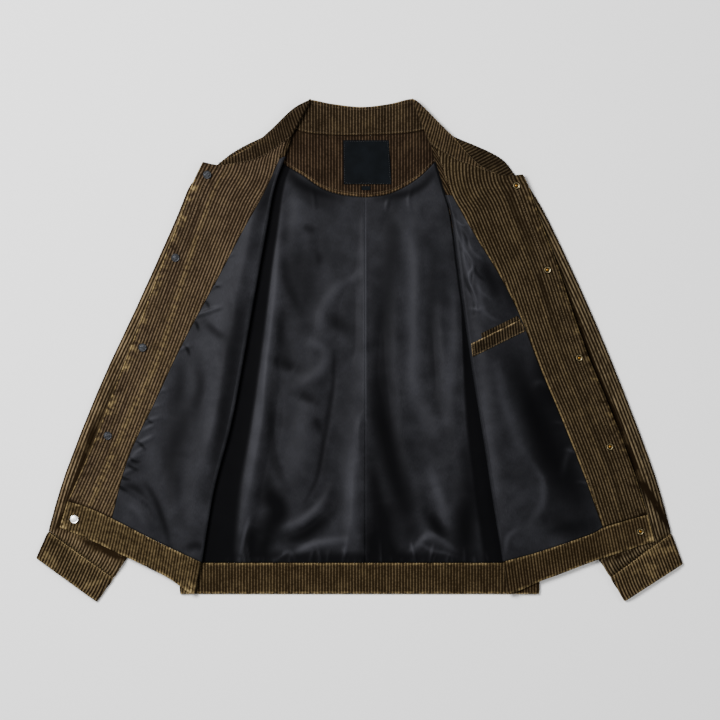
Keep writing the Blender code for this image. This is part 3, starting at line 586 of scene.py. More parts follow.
def front_form(side):
    """The plan curves of one front, each over the share of its height."""
    table = np.array([row[1:] for row in FRONT_TABLE[side]])
    return {
        "edge": table[:, 0:2],
        "roll": table[:, 2:4],
        "side": table[:, 4:6],
        "seam": table[:, 6:7],
        "curl": table[:, 7:8],
        "neck": NECK_SEAM[side],
        "hem": HEM_SEAM[side],
        "left": side == "left",
    }


def bulge(v):
    return ROLL_BULGE * (0.45 + 0.55 * np.sin(np.pi * v))


def roll_radius(v):
    return (TURNED_Z + bulge(v) - UNDER_Z - ROLL_LIFT) / 2


def turned_rise(distance, v):
    """How far the turned cloth stands over its flat height, at distances from the roll."""
    roll = bulge(v) * fade((distance - roll_radius(v)) / ROLL_BULGE_WIDTH)
    past = distance - RIDGE_DISTANCE
    ridge = fade(past / np.where(past < 0, RIDGE_NEAR_WIDTH, RIDGE_FAR_WIDTH))
    return roll + RIDGE_HEIGHT * ridge * np.sin(np.pi * np.clip(v / RIDGE_TOP_SHARE, 0, 1)) ** 0.8


def front_width(form, v):
    return np.linalg.norm(along(form["edge"], v) - along(form["roll"], v), axis=-1)


def under_width(form, v):
    return np.linalg.norm(along(form["side"], v) - along(form["roll"], v), axis=-1)


def seam_distance(form, v):
    return along(form["seam"], v)[..., 0] * front_width(form, v)


def turned_plan(form, s, v):
    """The plan point of the turned cloth at share s from roll to edge, at height share v."""
    s, v = np.broadcast_arrays(s, v)
    roll, edge = along(form["roll"], v), along(form["edge"], v)
    plan = roll + (edge - roll) * s[..., None]
    for seam, end, weight in (("neck", -1, v**2), ("hem", 0, (1 - v) ** 3)):
        chord = form["roll"][end] + (form["edge"][end] - form["roll"][end]) * s[..., None]
        plan = plan + (by_length(form[seam], s) - chord) * weight[..., None]
    return plan


def turned_grid(form, distance, v):
    """Points of the turned cloth at distances from the roll."""
    width = front_width(form, v)
    plan = turned_plan(form, distance / width, v)
    height = TURNED_Z + turned_rise(distance, v)
    curl = along(form["curl"], v)[..., 0]
    height = height + curl * np.clip(1 - (width - distance) / EDGE_CURL_WIDTH, 0, 1) ** 2
    return at_height(plan, height)


def roll_grid(form, v):
    """The half turn of the roll, from the cloth below to the cloth above."""
    turn = np.linspace(0, 1, ROLL_STEPS)[None, :, None]
    roll = along(form["roll"], v)
    below = along(form["side"], v) - roll
    above = turned_plan(form, np.full_like(v, 0.1), v) - roll
    below, above = (d / np.linalg.norm(d, axis=-1, keepdims=True) for d in (below, above))
    outward = below + (above - below) * turn
    outward /= np.linalg.norm(outward, axis=-1, keepdims=True)
    angle = np.pi * (turn - 0.5)
    radius = roll_radius(v)[..., None]
    plan = roll + outward * radius * (1 - np.cos(angle))
    height = UNDER_Z + ROLL_LIFT + radius + radius * np.sin(angle)
    return np.concatenate((plan, height), axis=-1)


def under_grid(form, distance, v):
    """Points of the cloth under the roll, at distances from the roll towards the side."""
    roll, side = along(form["roll"], v), along(form["side"], v)
    inward = (side - roll) / np.linalg.norm(side - roll, axis=-1, keepdims=True)
    plan = roll + inward * distance[..., None]
    height = UNDER_Z + ROLL_LIFT * fade((distance - roll_radius(v)) / ROLL_LIFT_WIDTH)
    return at_height(plan, height)


def side_grid(form, v):
    """The side edge, which curls down to the back below the underarm and is open above it."""
    length = under_width(form, v)
    shut = fade(np.maximum(v - UNDERARM_SHARE + ARMHOLE_FADE, 0) / ARMHOLE_FADE)
    angle = np.linspace(0, np.pi / 2, 6)[None, :]
    grid = under_grid(form, length - CORDUROY / 2 - SIDE_CURL * (1 - np.cos(angle)), v)
    grid[..., 2] -= SIDE_CURL * shut * (1 - np.sin(angle))
    return grid


def face_up(form, grid):
    """The grid with its columns in the order that turns its normals out of the upper side."""
    return grid[:, ::-1] if form["left"] else grid


def from_to(start, end, steps, power=1.0):
    """Distances from start to end, an array across for each row."""
    return start + (end - start) * np.linspace(0, 1, steps)[None, :] ** power


front_forms = {side: front_form(side) for side in ("left", "right")}
PLAIN_CREST = (0.045, 0.031, 0.016, 1.0)
front_corduroy = corduroy("front_corduroy", PLAIN_CREST, OLIVE_VALLEY, WORN_GOLD, rib_bump=FRONT_RIB_BUMP)

for side, form in front_forms.items():
    v = FRONT_SHARES
    radius = roll_radius(v)
    side_part = side_grid(form, v)
    side_reach = under_width(form, v) - CORDUROY / 2 - SIDE_CURL
    lifted = np.minimum(radius + ROLL_LIFT_WIDTH / 2, (side_reach + radius) / 2)
    under_part = under_grid(form, from_to(side_reach, lifted, 8)[:, 1:], v)
    over_part = turned_grid(form, from_to(radius, front_width(form, v), 46)[:, 1:], v)
    front_grid = face_up(form, np.concatenate((side_part, under_part, roll_grid(form, v), over_part), axis=1))
    count = lengths(front_grid, 1) / RIB_PITCH
    front_part, _ = wall_part(front_grid, CORDUROY, count, relief=np.zeros_like(count), keep=(96, 200))
    front_panel = add_piece(f"front_{side}_panel", [front_part], front_corduroy)
    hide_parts(f"front_{side}")

# ------------------------------------------------------------------ facings and their stitching
# A facing of the same corduroy is sewn inside each front edge and carries all but the lowest of its
# snaps. Its ribs run along the edge. Wear has rubbed the edge and the stitched seams to gold.

FACING_COLUMNS = RIB_SAMPLES * 31 + 1
FACING_FAN = 0.35  # how far the ribs fan out towards the neck
EDGE_ROUND = 1.7
SEAM_DIP = 0.9
SEAM_DIP_WIDTH = 1.8
FACING_SHARES = np.linspace(0.0003, 0.9997, 198)[:, None]
FACING_TONES = {
    "left": ((0.086, 0.060, 0.036, 1.0), (0.0095, 0.0054, 0.0026, 1.0), (0.20, 0.145, 0.064, 1.0)),
    "right": ((0.066, 0.048, 0.026, 1.0), (0.0060, 0.0033, 0.0011, 1.0), (0.18, 0.130, 0.056, 1.0)),
}
PAD_PITCH = 14.5  # of the small puffed pads between the edge and its wide topstitch
PAD_REACH = 16.5
PAD_HEIGHT = 0.8
SEAM_STITCH = 2.2  # from the facing's seam to the stitches beside it
PAD_WEAR = {
    # how worn the pads are, from the hem to the neck
    "left": (0.35, 0.45, 0.75, 0.95, 0.55, 0.85, 0.95, 1.0, 0.75, 0.5),
    "right": (0.4, 0.35, 0.3, 0.35, 0.45, 0.4, 0.4, 0.3, 0.25, 0.2),
}
EDGE_WEAR = {"left": 1.0, "right": 0.85}
SEAM_WEAR = {
    "left": (0.1, 0.15, 0.1, 0.1, 0.1, 0.05, 0.0),
    "right": (0.4, 0.5, 0.6, 0.5, 0.4, 0.15, 0.0),
}
FACING_TONE_SHIFT = {
    # how much lighter its ribs are, or darker below 0, from the hem to the neck
    "left": (0.10, 0.08, 0.0, -0.06),
    "right": (0.03, 0.0, 0.0, -0.02),
}
RAISED_PLACE = {
    # where the edge of the turned-in allowance shows through, from the hem to the neck
    "left": ((31,), (32,), (36,), (43,), (40,), (36,), (33,), (34,), (40,), (44,)),
    "right": ((38,), (40,), (41,), (40,), (39,), (40,), (41,), (40,)),
}
RAISED = {"left": (4.2, 0.9, 0.24), "right": (3.0, 0.4, 0.1)}  # width, height, wear
TROUGH = {"left": (22.0, 3.0, -0.7, 0.2), "right": (30.5, 4.2, -2.0, 0.75)}  # place, width, depth, and painted shade in it
SEAM_SHADOW_WIDTH = 2.0  # how far in from a seam painted shadow darkens the ribs
STITCH_PITCH = 3.2
STITCH_LENGTH = 2.4
STITCH_RADIUS = 0.32
STITCH_SIDES = 5
BROWN_THREAD = ((0.050, 0.033, 0.016, 1.0), (0.11, 0.076, 0.036, 1.0))
DARK_THREAD = ((0.020, 0.013, 0.007, 1.0), (0.085, 0.060, 0.030, 1.0))
GOLD_THREAD = ((0.16, 0.112, 0.046, 1.0), (0.40, 0.295, 0.135, 1.0))


def rounded(distance, radius=EDGE_ROUND):
    """How far a rounded edge drops at a distance from it."""
    left = np.clip(1 - distance / radius, 0, 1)
    return -radius * (1 - np.sqrt(1 - left**2))


def pulled_in(distance):
    """How far the stitches of a seam pull the cloth in at a distance from it."""
    return -SEAM_DIP * bell(distance, SEAM_DIP_WIDTH)


def on_face(face, row_share, column_share):
    """Points of a face's grid at shares of its rows and columns."""
    row = np.clip(np.asarray(row_share, float), 0, 1) * (face.shape[0] - 1)
    column = np.clip(np.asarray(column_share, float), 0, 1) * (face.shape[1] - 1)
    row, column = np.broadcast_arrays(row, column)
    r = np.minimum(row.astype(int), face.shape[0] - 2)
    c = np.minimum(column.astype(int), face.shape[1] - 2)
    f, g = (row - r)[..., None], (column - c)[..., None]
    low = face[r, c] * (1 - g) + face[r, c + 1] * g
    high = face[r + 1, c] * (1 - g) + face[r + 1, c + 1] * g
    return low * (1 - f) + high * f


def stepped(values, share):
    """The value at shares of the way through evenly spaced values."""
    return np.interp(share, np.linspace(0, 1, len(values)), values)


def thread(name, dark, light):
    """Waxed thread, paler and darker along its length."""

    def look(tree, shader):
        tone = noise(tree, own_place(tree), 90.0)
        tree.links.new(mixed(tree, spread(tree, tone, 0.35, 0.65), dark, light), shader.inputs["Base Color"])

    return new_material(name, look, Roughness=0.6, Specular_IOR_Level=0.3)


brown_thread = thread("brown_thread", *BROWN_THREAD)
gold_thread = thread("gold_thread", *GOLD_THREAD)
dark_thread = thread("dark_thread", *DARK_THREAD)


def stitches(line):
    """Parts for add_piece: short stitches of thread along a line of points, sunk at their ends."""
    run = run_along(line)
    starts = np.arange(0.5, run[-1] - STITCH_LENGTH, STITCH_PITCH)
    stops = np.array([0.0, 0.25, 0.75, 1.0])
    thick = np.array([0.35, 0.95, 0.95, 0.35]) * STITCH_RADIUS
    rise = np.array([-0.45, 0.05, 0.05, -0.45]) * STITCH_RADIUS * 2
    at = starts[:, None] + stops * STITCH_LENGTH
    middle = at_run(line, run, at)
    along_it = middle[:, -1:] - middle[:, :1]
    along_it /= np.linalg.norm(along_it, axis=-1, keepdims=True)
    aside = np.cross(along_it, (0.0, 0.0, 1.0))
    aside /= np.linalg.norm(aside, axis=-1, keepdims=True)
    up = np.cross(aside, along_it)
    middle = middle + up * rise[None, :, None]
    angle = np.linspace(0, 2 * np.pi, STITCH_SIDES, endpoint=False)
    ring = aside[:, :, None] * np.cos(angle)[:, None] + up[:, :, None] * np.sin(angle)[:, None]
    points = middle[:, :, None] + ring * thick[None, :, None, None]
    parts = []
    faces = ring_faces(len(stops), STITCH_SIDES)
    for stitch in points.reshape(len(starts), -1, 3):
        parts.append((stitch, faces, np.zeros((len(stitch), 3))))
    return parts


for side, form in front_forms.items():
    facing_corduroy = corduroy(f"facing_corduroy_{side}", *FACING_TONES[side])
    v = FACING_SHARES
    start = seam_distance(form, v) + SEAM
    width = front_width(form, v)
    grid = face_up(form, turned_grid(form, from_to(start, width, FACING_COLUMNS), v))
    grid = grid + standing(grid) * FACING_OUT
    edge_line = along(form["edge"], np.linspace(0, 1, 60))
    from_edge, _ = nearest(grid[..., :2], edge_line)
    across = lengths(grid, 1)
    from_seam = across[:, -1:] - across if form["left"] else across
    to_edge = across if form["left"] else across[:, -1:] - across
    count = from_edge * (1 - FACING_FAN * np.clip(v - 0.6, 0, 1)) / RIB_PITCH
    length = lengths(grid, 0)
    pads = length / PAD_PITCH + 0.5 * np.sin(length / 61) + 0.25 * np.sin(length / 23 + to_edge / 6)
    luck = chance(np.floor(pads) + 0.5)
    gap = bell(np.mod(pads, 1) - 0.35 - 0.3 * luck, 0.1 + 0.12 * luck)
    gap *= 0.15 + 0.85 * chance(np.floor(pads) + 7.5)
    padded = fade(np.clip((to_edge - PAD_REACH + 6 + 5 * luck) / 6, 0, 1))
    pad_wear = stepped(PAD_WEAR[side], v)
    seam_wear = stepped(SEAM_WEAR[side], v)
    relief = ribs(count, length) * (1 - 0.6 * padded) + rounded(to_edge) + pulled_in(from_seam)
    relief = relief + padded * (0.35 - PAD_HEIGHT * gap) + 0.7 * pulled_in(to_edge - PAD_REACH)
    wear_and_shade = seam_wear * bell(from_seam - 1.4, 1.5)
    # real wear on the pads, with painted shade in the gaps between them
    wear_and_shade = wear_and_shade + padded * (0.95 * pad_wear * (luck - 0.1) * (1 - gap) - 0.7 * gap - 0.25 * (1 - luck))
    wear_and_shade = wear_and_shade + EDGE_WEAR[side] * (0.4 + 0.6 * pad_wear) * bell(to_edge - 0.4, 1.5)
    raised_width, height, raised_wear = RAISED[side]
    raised = bell(to_edge - along(RAISED_PLACE[side], v)[..., 0], raised_width)
    place, trough_width, depth, shade = TROUGH[side]
    trough_width = trough_width * (0.6 + 0.6 * v)
    trough = bell(to_edge - place, trough_width) * (1 - fade(np.minimum(v, 1 - v) / 0.08))
    relief = relief + height * raised + depth * trough
    tone_shift = stepped(FACING_TONE_SHIFT[side], v)
    # painted shade in the trough and painted shadow along the hem seam; the rest is real wear
    wear_and_shade = wear_and_shade + tone_shift + raised_wear * raised - shade * trough - bell(length, SEAM_SHADOW_WIDTH)
    part, face = wall_part(grid, FACING, count, wear_and_shade, relief, keep=(60, 12))
    facing = add_piece(f"facing_{side}_cloth", [part], facing_corduroy)
    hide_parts(f"facing_{side}")
    shares = np.linspace(0.004, 0.996, 240)
    widths = np.interp(shares, v[:, 0], across[:, -1])
    column = PAD_REACH / widths if form["left"] else 1 - PAD_REACH / widths
    seam_column = 1 - SEAM_STITCH / widths if form["left"] else SEAM_STITCH / widths
    parts = stitches(on_face(face, shares, column)) + stitches(on_face(face, shares, seam_column))
    add_piece(f"facing_{side}_stitching", parts, brown_thread)

# ------------------------------------------------------------------ satin linings
# The back lining is two halves of dark satin sewn at the centre, slack in long soft folds and
# gathered into the waistband. Each front lining runs from its facing over the roll.

LINING_TUCK = 20.0
CENTRE_SEAM_X = 8.0
LINING_SEAM = 0.08
BACK_LINING_Z = CORDUROY + SEAM + SATIN / 2
BACK_LINING_GAP = 0.8
BACK_LINING_SIZE = (230, 100)  # rows, columns
TUCK_STEPS = 6
LINING_STEPS = 74  # from the roll to the facing
LINING_TOP_Y = 222.0
ROLL_CLEARANCE = 16.0  # over which the back lining flattens as it goes under a roll
END_HOLD = 16.0  # over which creases die out at a sewn end
ROLL_SHADE = {
    # height up the back, and how far from the roll the lining is darkened by painted shadow of the roll
    "left": ((-305, 52), (-200, 42), (-110, 34), (30, 27), (120, 21), (250, 15)),
    "right": ((-305, 30), (-110, 24), (-40, 16), (60, 5), (250, 4)),
}
NECK_FACING_LOW = (
    (-118, 276), (-102, 265.5), (-80.5, 252.5), (-54.5, 235), (-27, 226), (8, 222), (37, 225.5),
    (61.5, 235), (86.5, 251), (106.5, 270.5), (116, 281),
)
LINING_FOLDS = (
    # fold            hem_x  neck_x  height  width  from_y  to_y
    ("left valley", -176, -90, 4.4, 17, -320, 250),
    ("left drape", -96, -40, 3, 22, -250, 150),
    ("centre seam", 10, 12, 2.2, 16, -320, 200),
    ("right drape", 62, 52, 4.2, 20, -260, 210),
    ("right valley", 172, 86, 4.4, 16, -310, 190),
)
BACK_CREASES = (
    # height, width, points from one end to the other
    (1.9, 7.5, (
        (-112, 222), (-121, 101), (-136, -40), (-138, -101), (-160, -210), (-167, -240), (-176, -293),
    )),
    (-1.6, 9, ((-99, 200), (-107, 100), (-119, -30), (-122, -100), (-142, -200), (-150, -262))),
    (1.5, 9, ((1, 107), (-31, 90), (-53, 52), (-54, 23))),
    (1.6, 9, ((-79, 15), (-50, 0), (-54, -29), (-91, -55))),
    (-1.4, 9, ((-127, -14), (-109, -20), (-92, -29))),
    (-1.2, 8, ((-86, -64), (-75, -70), (-63, -75))),
    (-1, 7, ((-66, -99), (-59, -110), (-54, -122))),
    (-0.8, 4, ((-37, -3), (-38, -51), (-49, -116), (-60, -181), (-78, -220))),
    (0.7, 3.6, ((-122, -43), (-127, -116), (-119, -170), (-93, -220))),
    (1.1, 3.6, ((5, 216), (7, 60), (8, -94))),
    (1.6, 4.6, ((3, -96), (-1, -120), (0, -160))),
    (2.6, 17, ((-6, -70), (-8, -180), (-12, -296))),
    (-2.2, 11, ((38, 112), (34, -20), (44, -81), (59, -210))),
    (2.6, 10.5, ((47, 214), (82, 146), (84, 29), (82, -42), (104, -84), (128, -165))),
    (1.8, 9, ((143, 78), (145, 0), (142, -70))),
    (-1.8, 10, ((110, 85), (107, 0), (110, -80))),
    (-1.1, 3.4, ((92, 201), (99, 191), (108, 184))),
    (0.9, 3.2, ((46, 224), (41, 216), (38, 202))),
    (0.7, 3, ((-70, 240), (-66, 222), (-64, 205))),
    (0.7, 3, ((76, 236), (72, 220), (73, 204))),
    (-1.3, 6, ((-149, -246), (-148, -305))),
    (1.9, 8, ((-118, -262), (-80, -248), (-50, -220), (-36, -190))),
    (-1.8, 7.5, ((-116, -282), (-78, -268), (-44, -240))),
    (1.6, 6, ((-98, -300), (-60, -282), (-16, -276))),
    (2, 7, ((-20, -292), (-11, -244), (-8, -170))),
    (1.7, 6.5, ((70, -300), (101, -275), (142, -303))),
    (2.2, 9.5, ((112, -196), (124, -224), (136, -256))),
    (-1.7, 8.5, ((143, -212), (156, -246), (171, -290))),
    (-1.2, 14, ((-20, 180), (-14, 60), (-22, -60))),
    (1.3, 13, ((-66, 190), (-82, 90), (-92, -10), (-100, -90))),
    (1.2, 9, ((60, -120), (86, -190), (92, -262))),
    (-1.2, 8, ((22, -190), (30, -250), (28, -300))),
)
BACK_SHADES = (
    # how much painted shade, or painted highlight below 0, width, points from one end to the other
    (0.35, 13, ((47, 196), (47, 138), (36, 44), (36, -36))),
    (0.85, 14, ((30, -22), (31, -87), (44, -152), (62, -218), (73, -261))),
    (0.22, 8, ((107, 145), (104, 72), (105, -14), (117, -87))),
    (0.8, 16, ((30, -218), (36, -261), (30, -304))),
    (0.8, 9, ((99, -235), (111, -255), (123, -276))),
    (0.85, 15, ((160, -206), (154, -246), (154, -304))),
    (0.85, 14, ((-141, -206), (-118, -232), (-141, -276))),
    (0.8, 8, ((-109, -276), (-78, -267), (-43, -239))),
    (0.45, 8, ((-127, -14), (-109, -20), (-92, -29))),
    (0.4, 6, ((-86, -64), (-75, -70), (-63, -75))),
    (0.3, 5, ((-66, -99), (-59, -110), (-54, -122))),
    (0.35, 6, ((-83, 180), (-73, 175), (-63, 173))),
    (0.3, 5, ((-63, 142), (-59, 133), (-60, 122))),
    (0.3, 7, ((-109, 128), (-104, 94), (-86, 55))),
    (0.3, 9, ((-43, 46), (-25, 35), (-11, 26))),
    (0.35, 3.4, ((-37, -3), (-38, -51), (-49, -116), (-60, -181), (-78, -220))),
    (0.3, 6, ((-127, -65), (-128, -109), (-124, -160), (-104, -206))),
    (0.25, 10, ((-101, 244), (-78, 223), (-43, 210))),
    (-0.51, 12, ((70, 210), (76, 160), (75, 87), (79, 0), (79, -61), (99, -116))),
    (-0.37, 8, ((136, 87), (134, 14), (131, -61), (127, -102))),
    (-0.51, 9, ((-115, 145), (-127, 44), (-141, -58), (-153, -145), (-165, -246), (-173, -299))),
    (-0.37, 7, ((1, 107), (-31, 90), (-53, 52), (-54, 23))),
    (-0.42, 7, ((-79, 14), (-50, 0), (-54, -29), (-91, -55))),
    (-0.24, 10, ((-90, 222), (-88, 190), (-82, 150))),
    (0.22, 20, ((-88, 150), (-80, 90), (-84, 20))),
    (0.3, 9, ((-118, 60), (-112, 10), (-100, -20))),
    (-0.51, 10, ((-5, -116), (-11, -188), (-11, -246), (-11, -299))),
    (-0.51, 6, ((-109, -258), (-80, -246), (-49, -218))),
    (-0.59, 6, ((-95, -296), (-60, -281), (-20, -276))),
    (-0.51, 8, ((102, -174), (114, -206), (125, -249))),
    (-0.59, 5, ((82, -290), (102, -267), (140, -291))),
    (-0.26, 16, ((-86, -90), (-86, -130), (-86, -174))),
    (-0.7, 2.4, ((-161, -244), (-167, -268), (-172, -294))),
    (-0.5, 3.0, ((-112, -296), (-122, -304), (-104, -292), (-96, -300))),
    (-0.35, 3.0, ((70, -292), (88, -282), (104, -290), (130, -296), (150, -304))),
    (0.75, 10, ((-190, -302), (-60, -303), (40, -303), (196, -302))),
    (0.8, 11, ((-152, -252), (-158, -278), (-154, -304))),
    (0.85, 15, ((14, -262), (26, -284), (54, -300))),
    (0.6, 9, ((-128, -268), (-138, -286), (-140, -304))),
    (0.6, 7, ((-107, 267), (-92, 246), (-66, 231), (-28, 220))),
    (0.5, 5, ((27, 219), (65, 226), (91, 238), (111, 261))),
    (0.5, 9, ((18, -160), (24, -203), (33, -246))),
    (-0.75, 1.8, ((8, 223), (8, 72), (8, -102))),
    (0.35, 9, ((-133, -174), (-130, -206), (-112, -235))),
    (0.3, 12, ((160, -130), (157, -174), (160, -218))),
)
# painted shade on the front linings, or painted highlight below 0: how much, width, points from one end to
# the other
FRONT_SHADES = {
    "left": (
        (0.45, 10, ((-141, 197), (-130, 229), (-120, 258))),
        (0.35, 12, ((-173, 72), (-185, -44), (-199, -130), (-214, -218))),
        (0.29, 9, ((-259, -17), (-260, -51), (-269, -87))),
        (0.31, 8, ((-233, -23), (-230, -55), (-241, -90))),
        (0.33, 13, ((-246, -80), (-260, -116), (-272, -162), (-266, -206))),
        (0.33, 6, ((-223, 41), (-208, 26), (-194, 17))),
        (0.33, 3, ((-234, 49), (-217, 57), (-199, 59))),
        (0.44, 4, ((-310, -194), (-295, -218), (-281, -258), (-275, -283))),
        (0.39, 5, ((-344, -194), (-324, -200), (-310, -212))),
        (0.44, 6, ((-252, -287), (-237, -283), (-225, -287))),
        (-0.22, 12, ((-199, 116), (-202, 72), (-208, 29))),
        (-0.27, 10, ((-214, -29), (-214, -102), (-225, -188))),
        (-0.22, 12, ((-292, -72), (-301, -130), (-295, -188))),
        (-0.27, 7, ((-341, -218), (-321, -232), (-304, -261))),
        (0.61, 2, ((-310, -96), (-304, -103), (-298, -107))),
        (0.66, 1.8, ((-324, -132), (-317, -136), (-310, -144))),
        (0.66, 1.8, ((-333, -154), (-327, -161), (-318, -162))),
        (0.66, 1.8, ((-336, -165), (-330, -170), (-321, -174))),
        (0.66, 1.8, ((-347, -181), (-341, -186), (-333, -188))),
        (0.66, 1.8, ((-352, -194), (-346, -199), (-337, -204))),
        (0.66, 1.8, ((-254, 7), (-249, 1), (-246, -7))),
        (0.66, 1.8, ((-240, 41), (-236, 38), (-233, 29))),
        (0.55, 1.8, ((-227, 72), (-221, 68), (-217, 61))),
        (0.55, 1.8, ((-212, 97), (-208, 93), (-201, 90))),
    ),
    "right": (
        (0.5, 22, ((233, -32), (262, -102), (285, -174), (299, -235))),
        (0.4, 20, ((262, 0), (285, -72), (305, -130))),
        (0.54, 16, ((221, -22), (244, -72), (262, -130), (279, -188))),
        (0.51, 18, ((291, -116), (308, -188), (331, -246))),
        (0.51, 16, ((262, 7), (273, -44), (285, -87))),
        (0.51, 14, ((273, -246), (302, -258), (334, -252))),
        (0.51, 8, ((178, 130), (189, 102), (201, 72))),
        (0.42, 10, ((204, 130), (215, 87), (227, 58))),
        (-0.34, 9, ((175, -20), (183, -102), (192, -174), (201, -246))),
        (-0.34, 7, ((198, -23), (212, -87), (233, -145))),
        (-0.37, 5, ((250, -52), (262, -46), (273, -55))),
        (-0.48, 5, ((308, -136), (299, -157), (294, -180))),
        (-0.42, 6, ((247, -157), (265, -191), (262, -226), (244, -252))),
        (-0.51, 4, ((210, -293), (215, -270), (230, -258))),
        (-0.42, 3, ((141, 200), (149, 160), (157, 119), (166, 72))),
        (-0.42, 4, ((154, 218), (163, 197), (160, 171))),
        (-0.42, 4, ((169, 107), (175, 72), (181, 41))),
    ),
}
HEM_GATHERS = {"count": 34, "from_x": -196.0, "to_x": 186.0, "low": -306.5, "height": 1.1, "width": 2.0}
# how much painted highlight the ridges of the hem gathers get
GATHER_SHEEN = 0.32
FRONT_CREASES = {
    "left": (
        (1.3, 3, ((-236, 50), (-218, 56), (-200, 62))),
        (1, 2.6, ((-309, -104), (-299, -100), (-288, -97))),
        (1, 2.4, ((-314, -117), (-304, -112), (-296, -108))),
        (1.2, 2.6, ((-321, -136), (-309, -130), (-298, -125))),
        (0.9, 2.4, ((-329, -152), (-320, -147), (-312, -142))),
        (1.1, 2.6, ((-338, -162), (-326, -155), (-314, -150))),
        (1, 2.6, ((-345, -181), (-334, -175), (-325, -172))),
        (0.8, 2.4, ((-302, -84), (-294, -81), (-287, -80))),
        (0.8, 2.4, ((-292, -62), (-284, -58), (-277, -57))),
        (0.8, 2.6, ((-262, 0), (-252, 4), (-244, 6))),
        (0.9, 2.6, ((-218, 88), (-208, 93), (-199, 95))),
        (0.8, 2.4, ((-196, 132), (-188, 137), (-181, 139))),
        (-1.6, 11, ((-256, -14), (-252, -36))),
        (-1.6, 9, ((-238, -34), (-242, -56), (-268, -66))),
        (1.8, 10, ((-222, 6), (-214, -28), (-216, -70))),
        (1.7, 6.5, ((-346, -190), (-328, -206), (-306, -222), (-286, -252))),
        (-1.6, 6, ((-352, -204), (-322, -222), (-296, -246))),
        (1.6, 8, ((-200, 40), (-196, -20), (-206, -90), (-226, -170))),
        (1.5, 9, ((-262, -150), (-268, -200), (-262, -262))),
        (-1.2, 8, ((-286, -110), (-290, -160), (-300, -196))),
        (1.2, 7, ((-332, -222), (-312, -246), (-300, -268))),
        (1.1, 7.5, ((-190, 100), (-180, 60), (-180, 20))),
    ),
    "right": (
        (1.1, 3.2, ((131, 184), (139, 163), (145, 126), (149, 88))),
        (1.2, 2.2, ((136, 196), (141, 172), (150, 150), (153, 126), (159, 104))),
        (1.1, 2, ((139, 189), (148, 181), (158, 181))),
        (-1.2, 2.2, ((146, 168), (152, 140), (162, 118), (162, 96))),
        (1.2, 2.2, ((148, 150), (158, 138), (165, 122), (158, 104), (166, 82), (175, 62))),
        (-1.1, 2.2, ((152, 108), (158, 92), (166, 70), (166, 52))),
        (1.1, 2, ((160, 60), (172, 58), (181, 62))),
        (0.9, 2.4, ((150, 192), (160, 180), (164, 166))),
        (-0.9, 2.6, ((144, 178), (153, 163), (158, 150))),
        (0.9, 2.4, ((158, 156), (166, 140), (178, 130))),
        (1, 2.6, ((150, 140), (161, 122), (166, 104))),
        (-0.9, 2.6, ((164, 128), (170, 110), (182, 100))),
        (0.9, 2.4, ((170, 96), (178, 82), (190, 74))),
        (1, 3, ((156, 86), (166, 72), (170, 56))),
        (0.9, 2.8, ((176, 62), (188, 48), (202, 42))),
        (1.5, 8, ((174, -52), (190, -120), (204, -190), (216, -262))),
        (-1.5, 10, ((214, -70), (226, -140), (244, -210))),
        (1.3, 9, ((250, -30), (262, -96), (278, -170))),
        (-1.3, 9, ((284, -120), (300, -180), (318, -232))),
        (1.2, 6, ((228, -250), (262, -262), (300, -252))),
        (1, 3, ((318, -150), (306, -146), (296, -144))),
        (1, 3, ((300, -110), (290, -106), (282, -105))),
        (0.9, 2.6, ((336, -196), (324, -192), (314, -192))),
    ),
}


def crease_height(plan, creases):
    """The height that soft creases add at plan points. Each dies out towards its ends."""
    height = np.zeros(plan.shape[:-1])
    for rise, width, points in creases:
        line = along(points, np.linspace(0, 1, 4 * len(points)))
        distance, run = nearest(plan, line)
        share = np.clip(run / pieces_of(line).sum(), 0.04, 0.96)
        strength = np.sin(np.pi * share) ** 0.55
        height += rise * strength * bell(distance, width)
    return height


def rippled(plan):
    """The slight unevenness of slack satin."""
    x, y = plan[..., 0], plan[..., 1]
    wide = np.sin(x / 23 + 1.3 * np.sin(y / 71)) * np.sin(y / 47 + 0.9 * np.sin(x / 39))
    fine = np.sin(x / 9.1 + 1.7 * np.sin(y / 31)) * np.sin(y / 17.3 + x / 27)
    return 0.45 * wide + 0.12 * fine


def fold_height(plan):
    height = np.zeros(plan.shape[:-1])
    for _, hem_x, neck_x, rise, width, from_y, to_y in LINING_FOLDS:
        share = (plan[..., 1] - HEM_Y) / (LINING_TOP_Y - HEM_Y)
        middle = hem_x + (neck_x - hem_x) * share
        ends = fade((plan[..., 1] - (from_y + to_y) / 2) / ((to_y - from_y) / 2)) ** 0.5
        height += rise * bell(plan[..., 0] - middle, width) * ends
    return height


def hem_gathers():
    """Small uneven pleats where the lining is eased into the waistband."""
    given = HEM_GATHERS
    creases = []
    for i in range(given["count"]):
        luck, other = chance(i + 0.5), chance(i + 20.5)
        x = given["from_x"] + (given["to_x"] - given["from_x"]) * (i + 1.4 * luck) / given["count"]
        long = 4 + 30 * other**3
        lean = (chance(i + 40.5) - 0.5) * 0.7 * long
        low = given["low"]
        tall = given["height"] * (0.3 + other)
        wide = given["width"] * (0.7 + 0.6 * luck)
        creases.append((tall, wide, ((x, low - 8), (x, low + 2), (x + lean, low + long))))
    return tuple(creases)


SATIN_SHADE_FLOOR = 0.016  # the share of its tone left under full painted shade
SATIN_THREADS = (2600.0, 240.0, 240.0)  # how fine its weave is along x, y and z
SATIN_BUMP = 0.00006  # metres


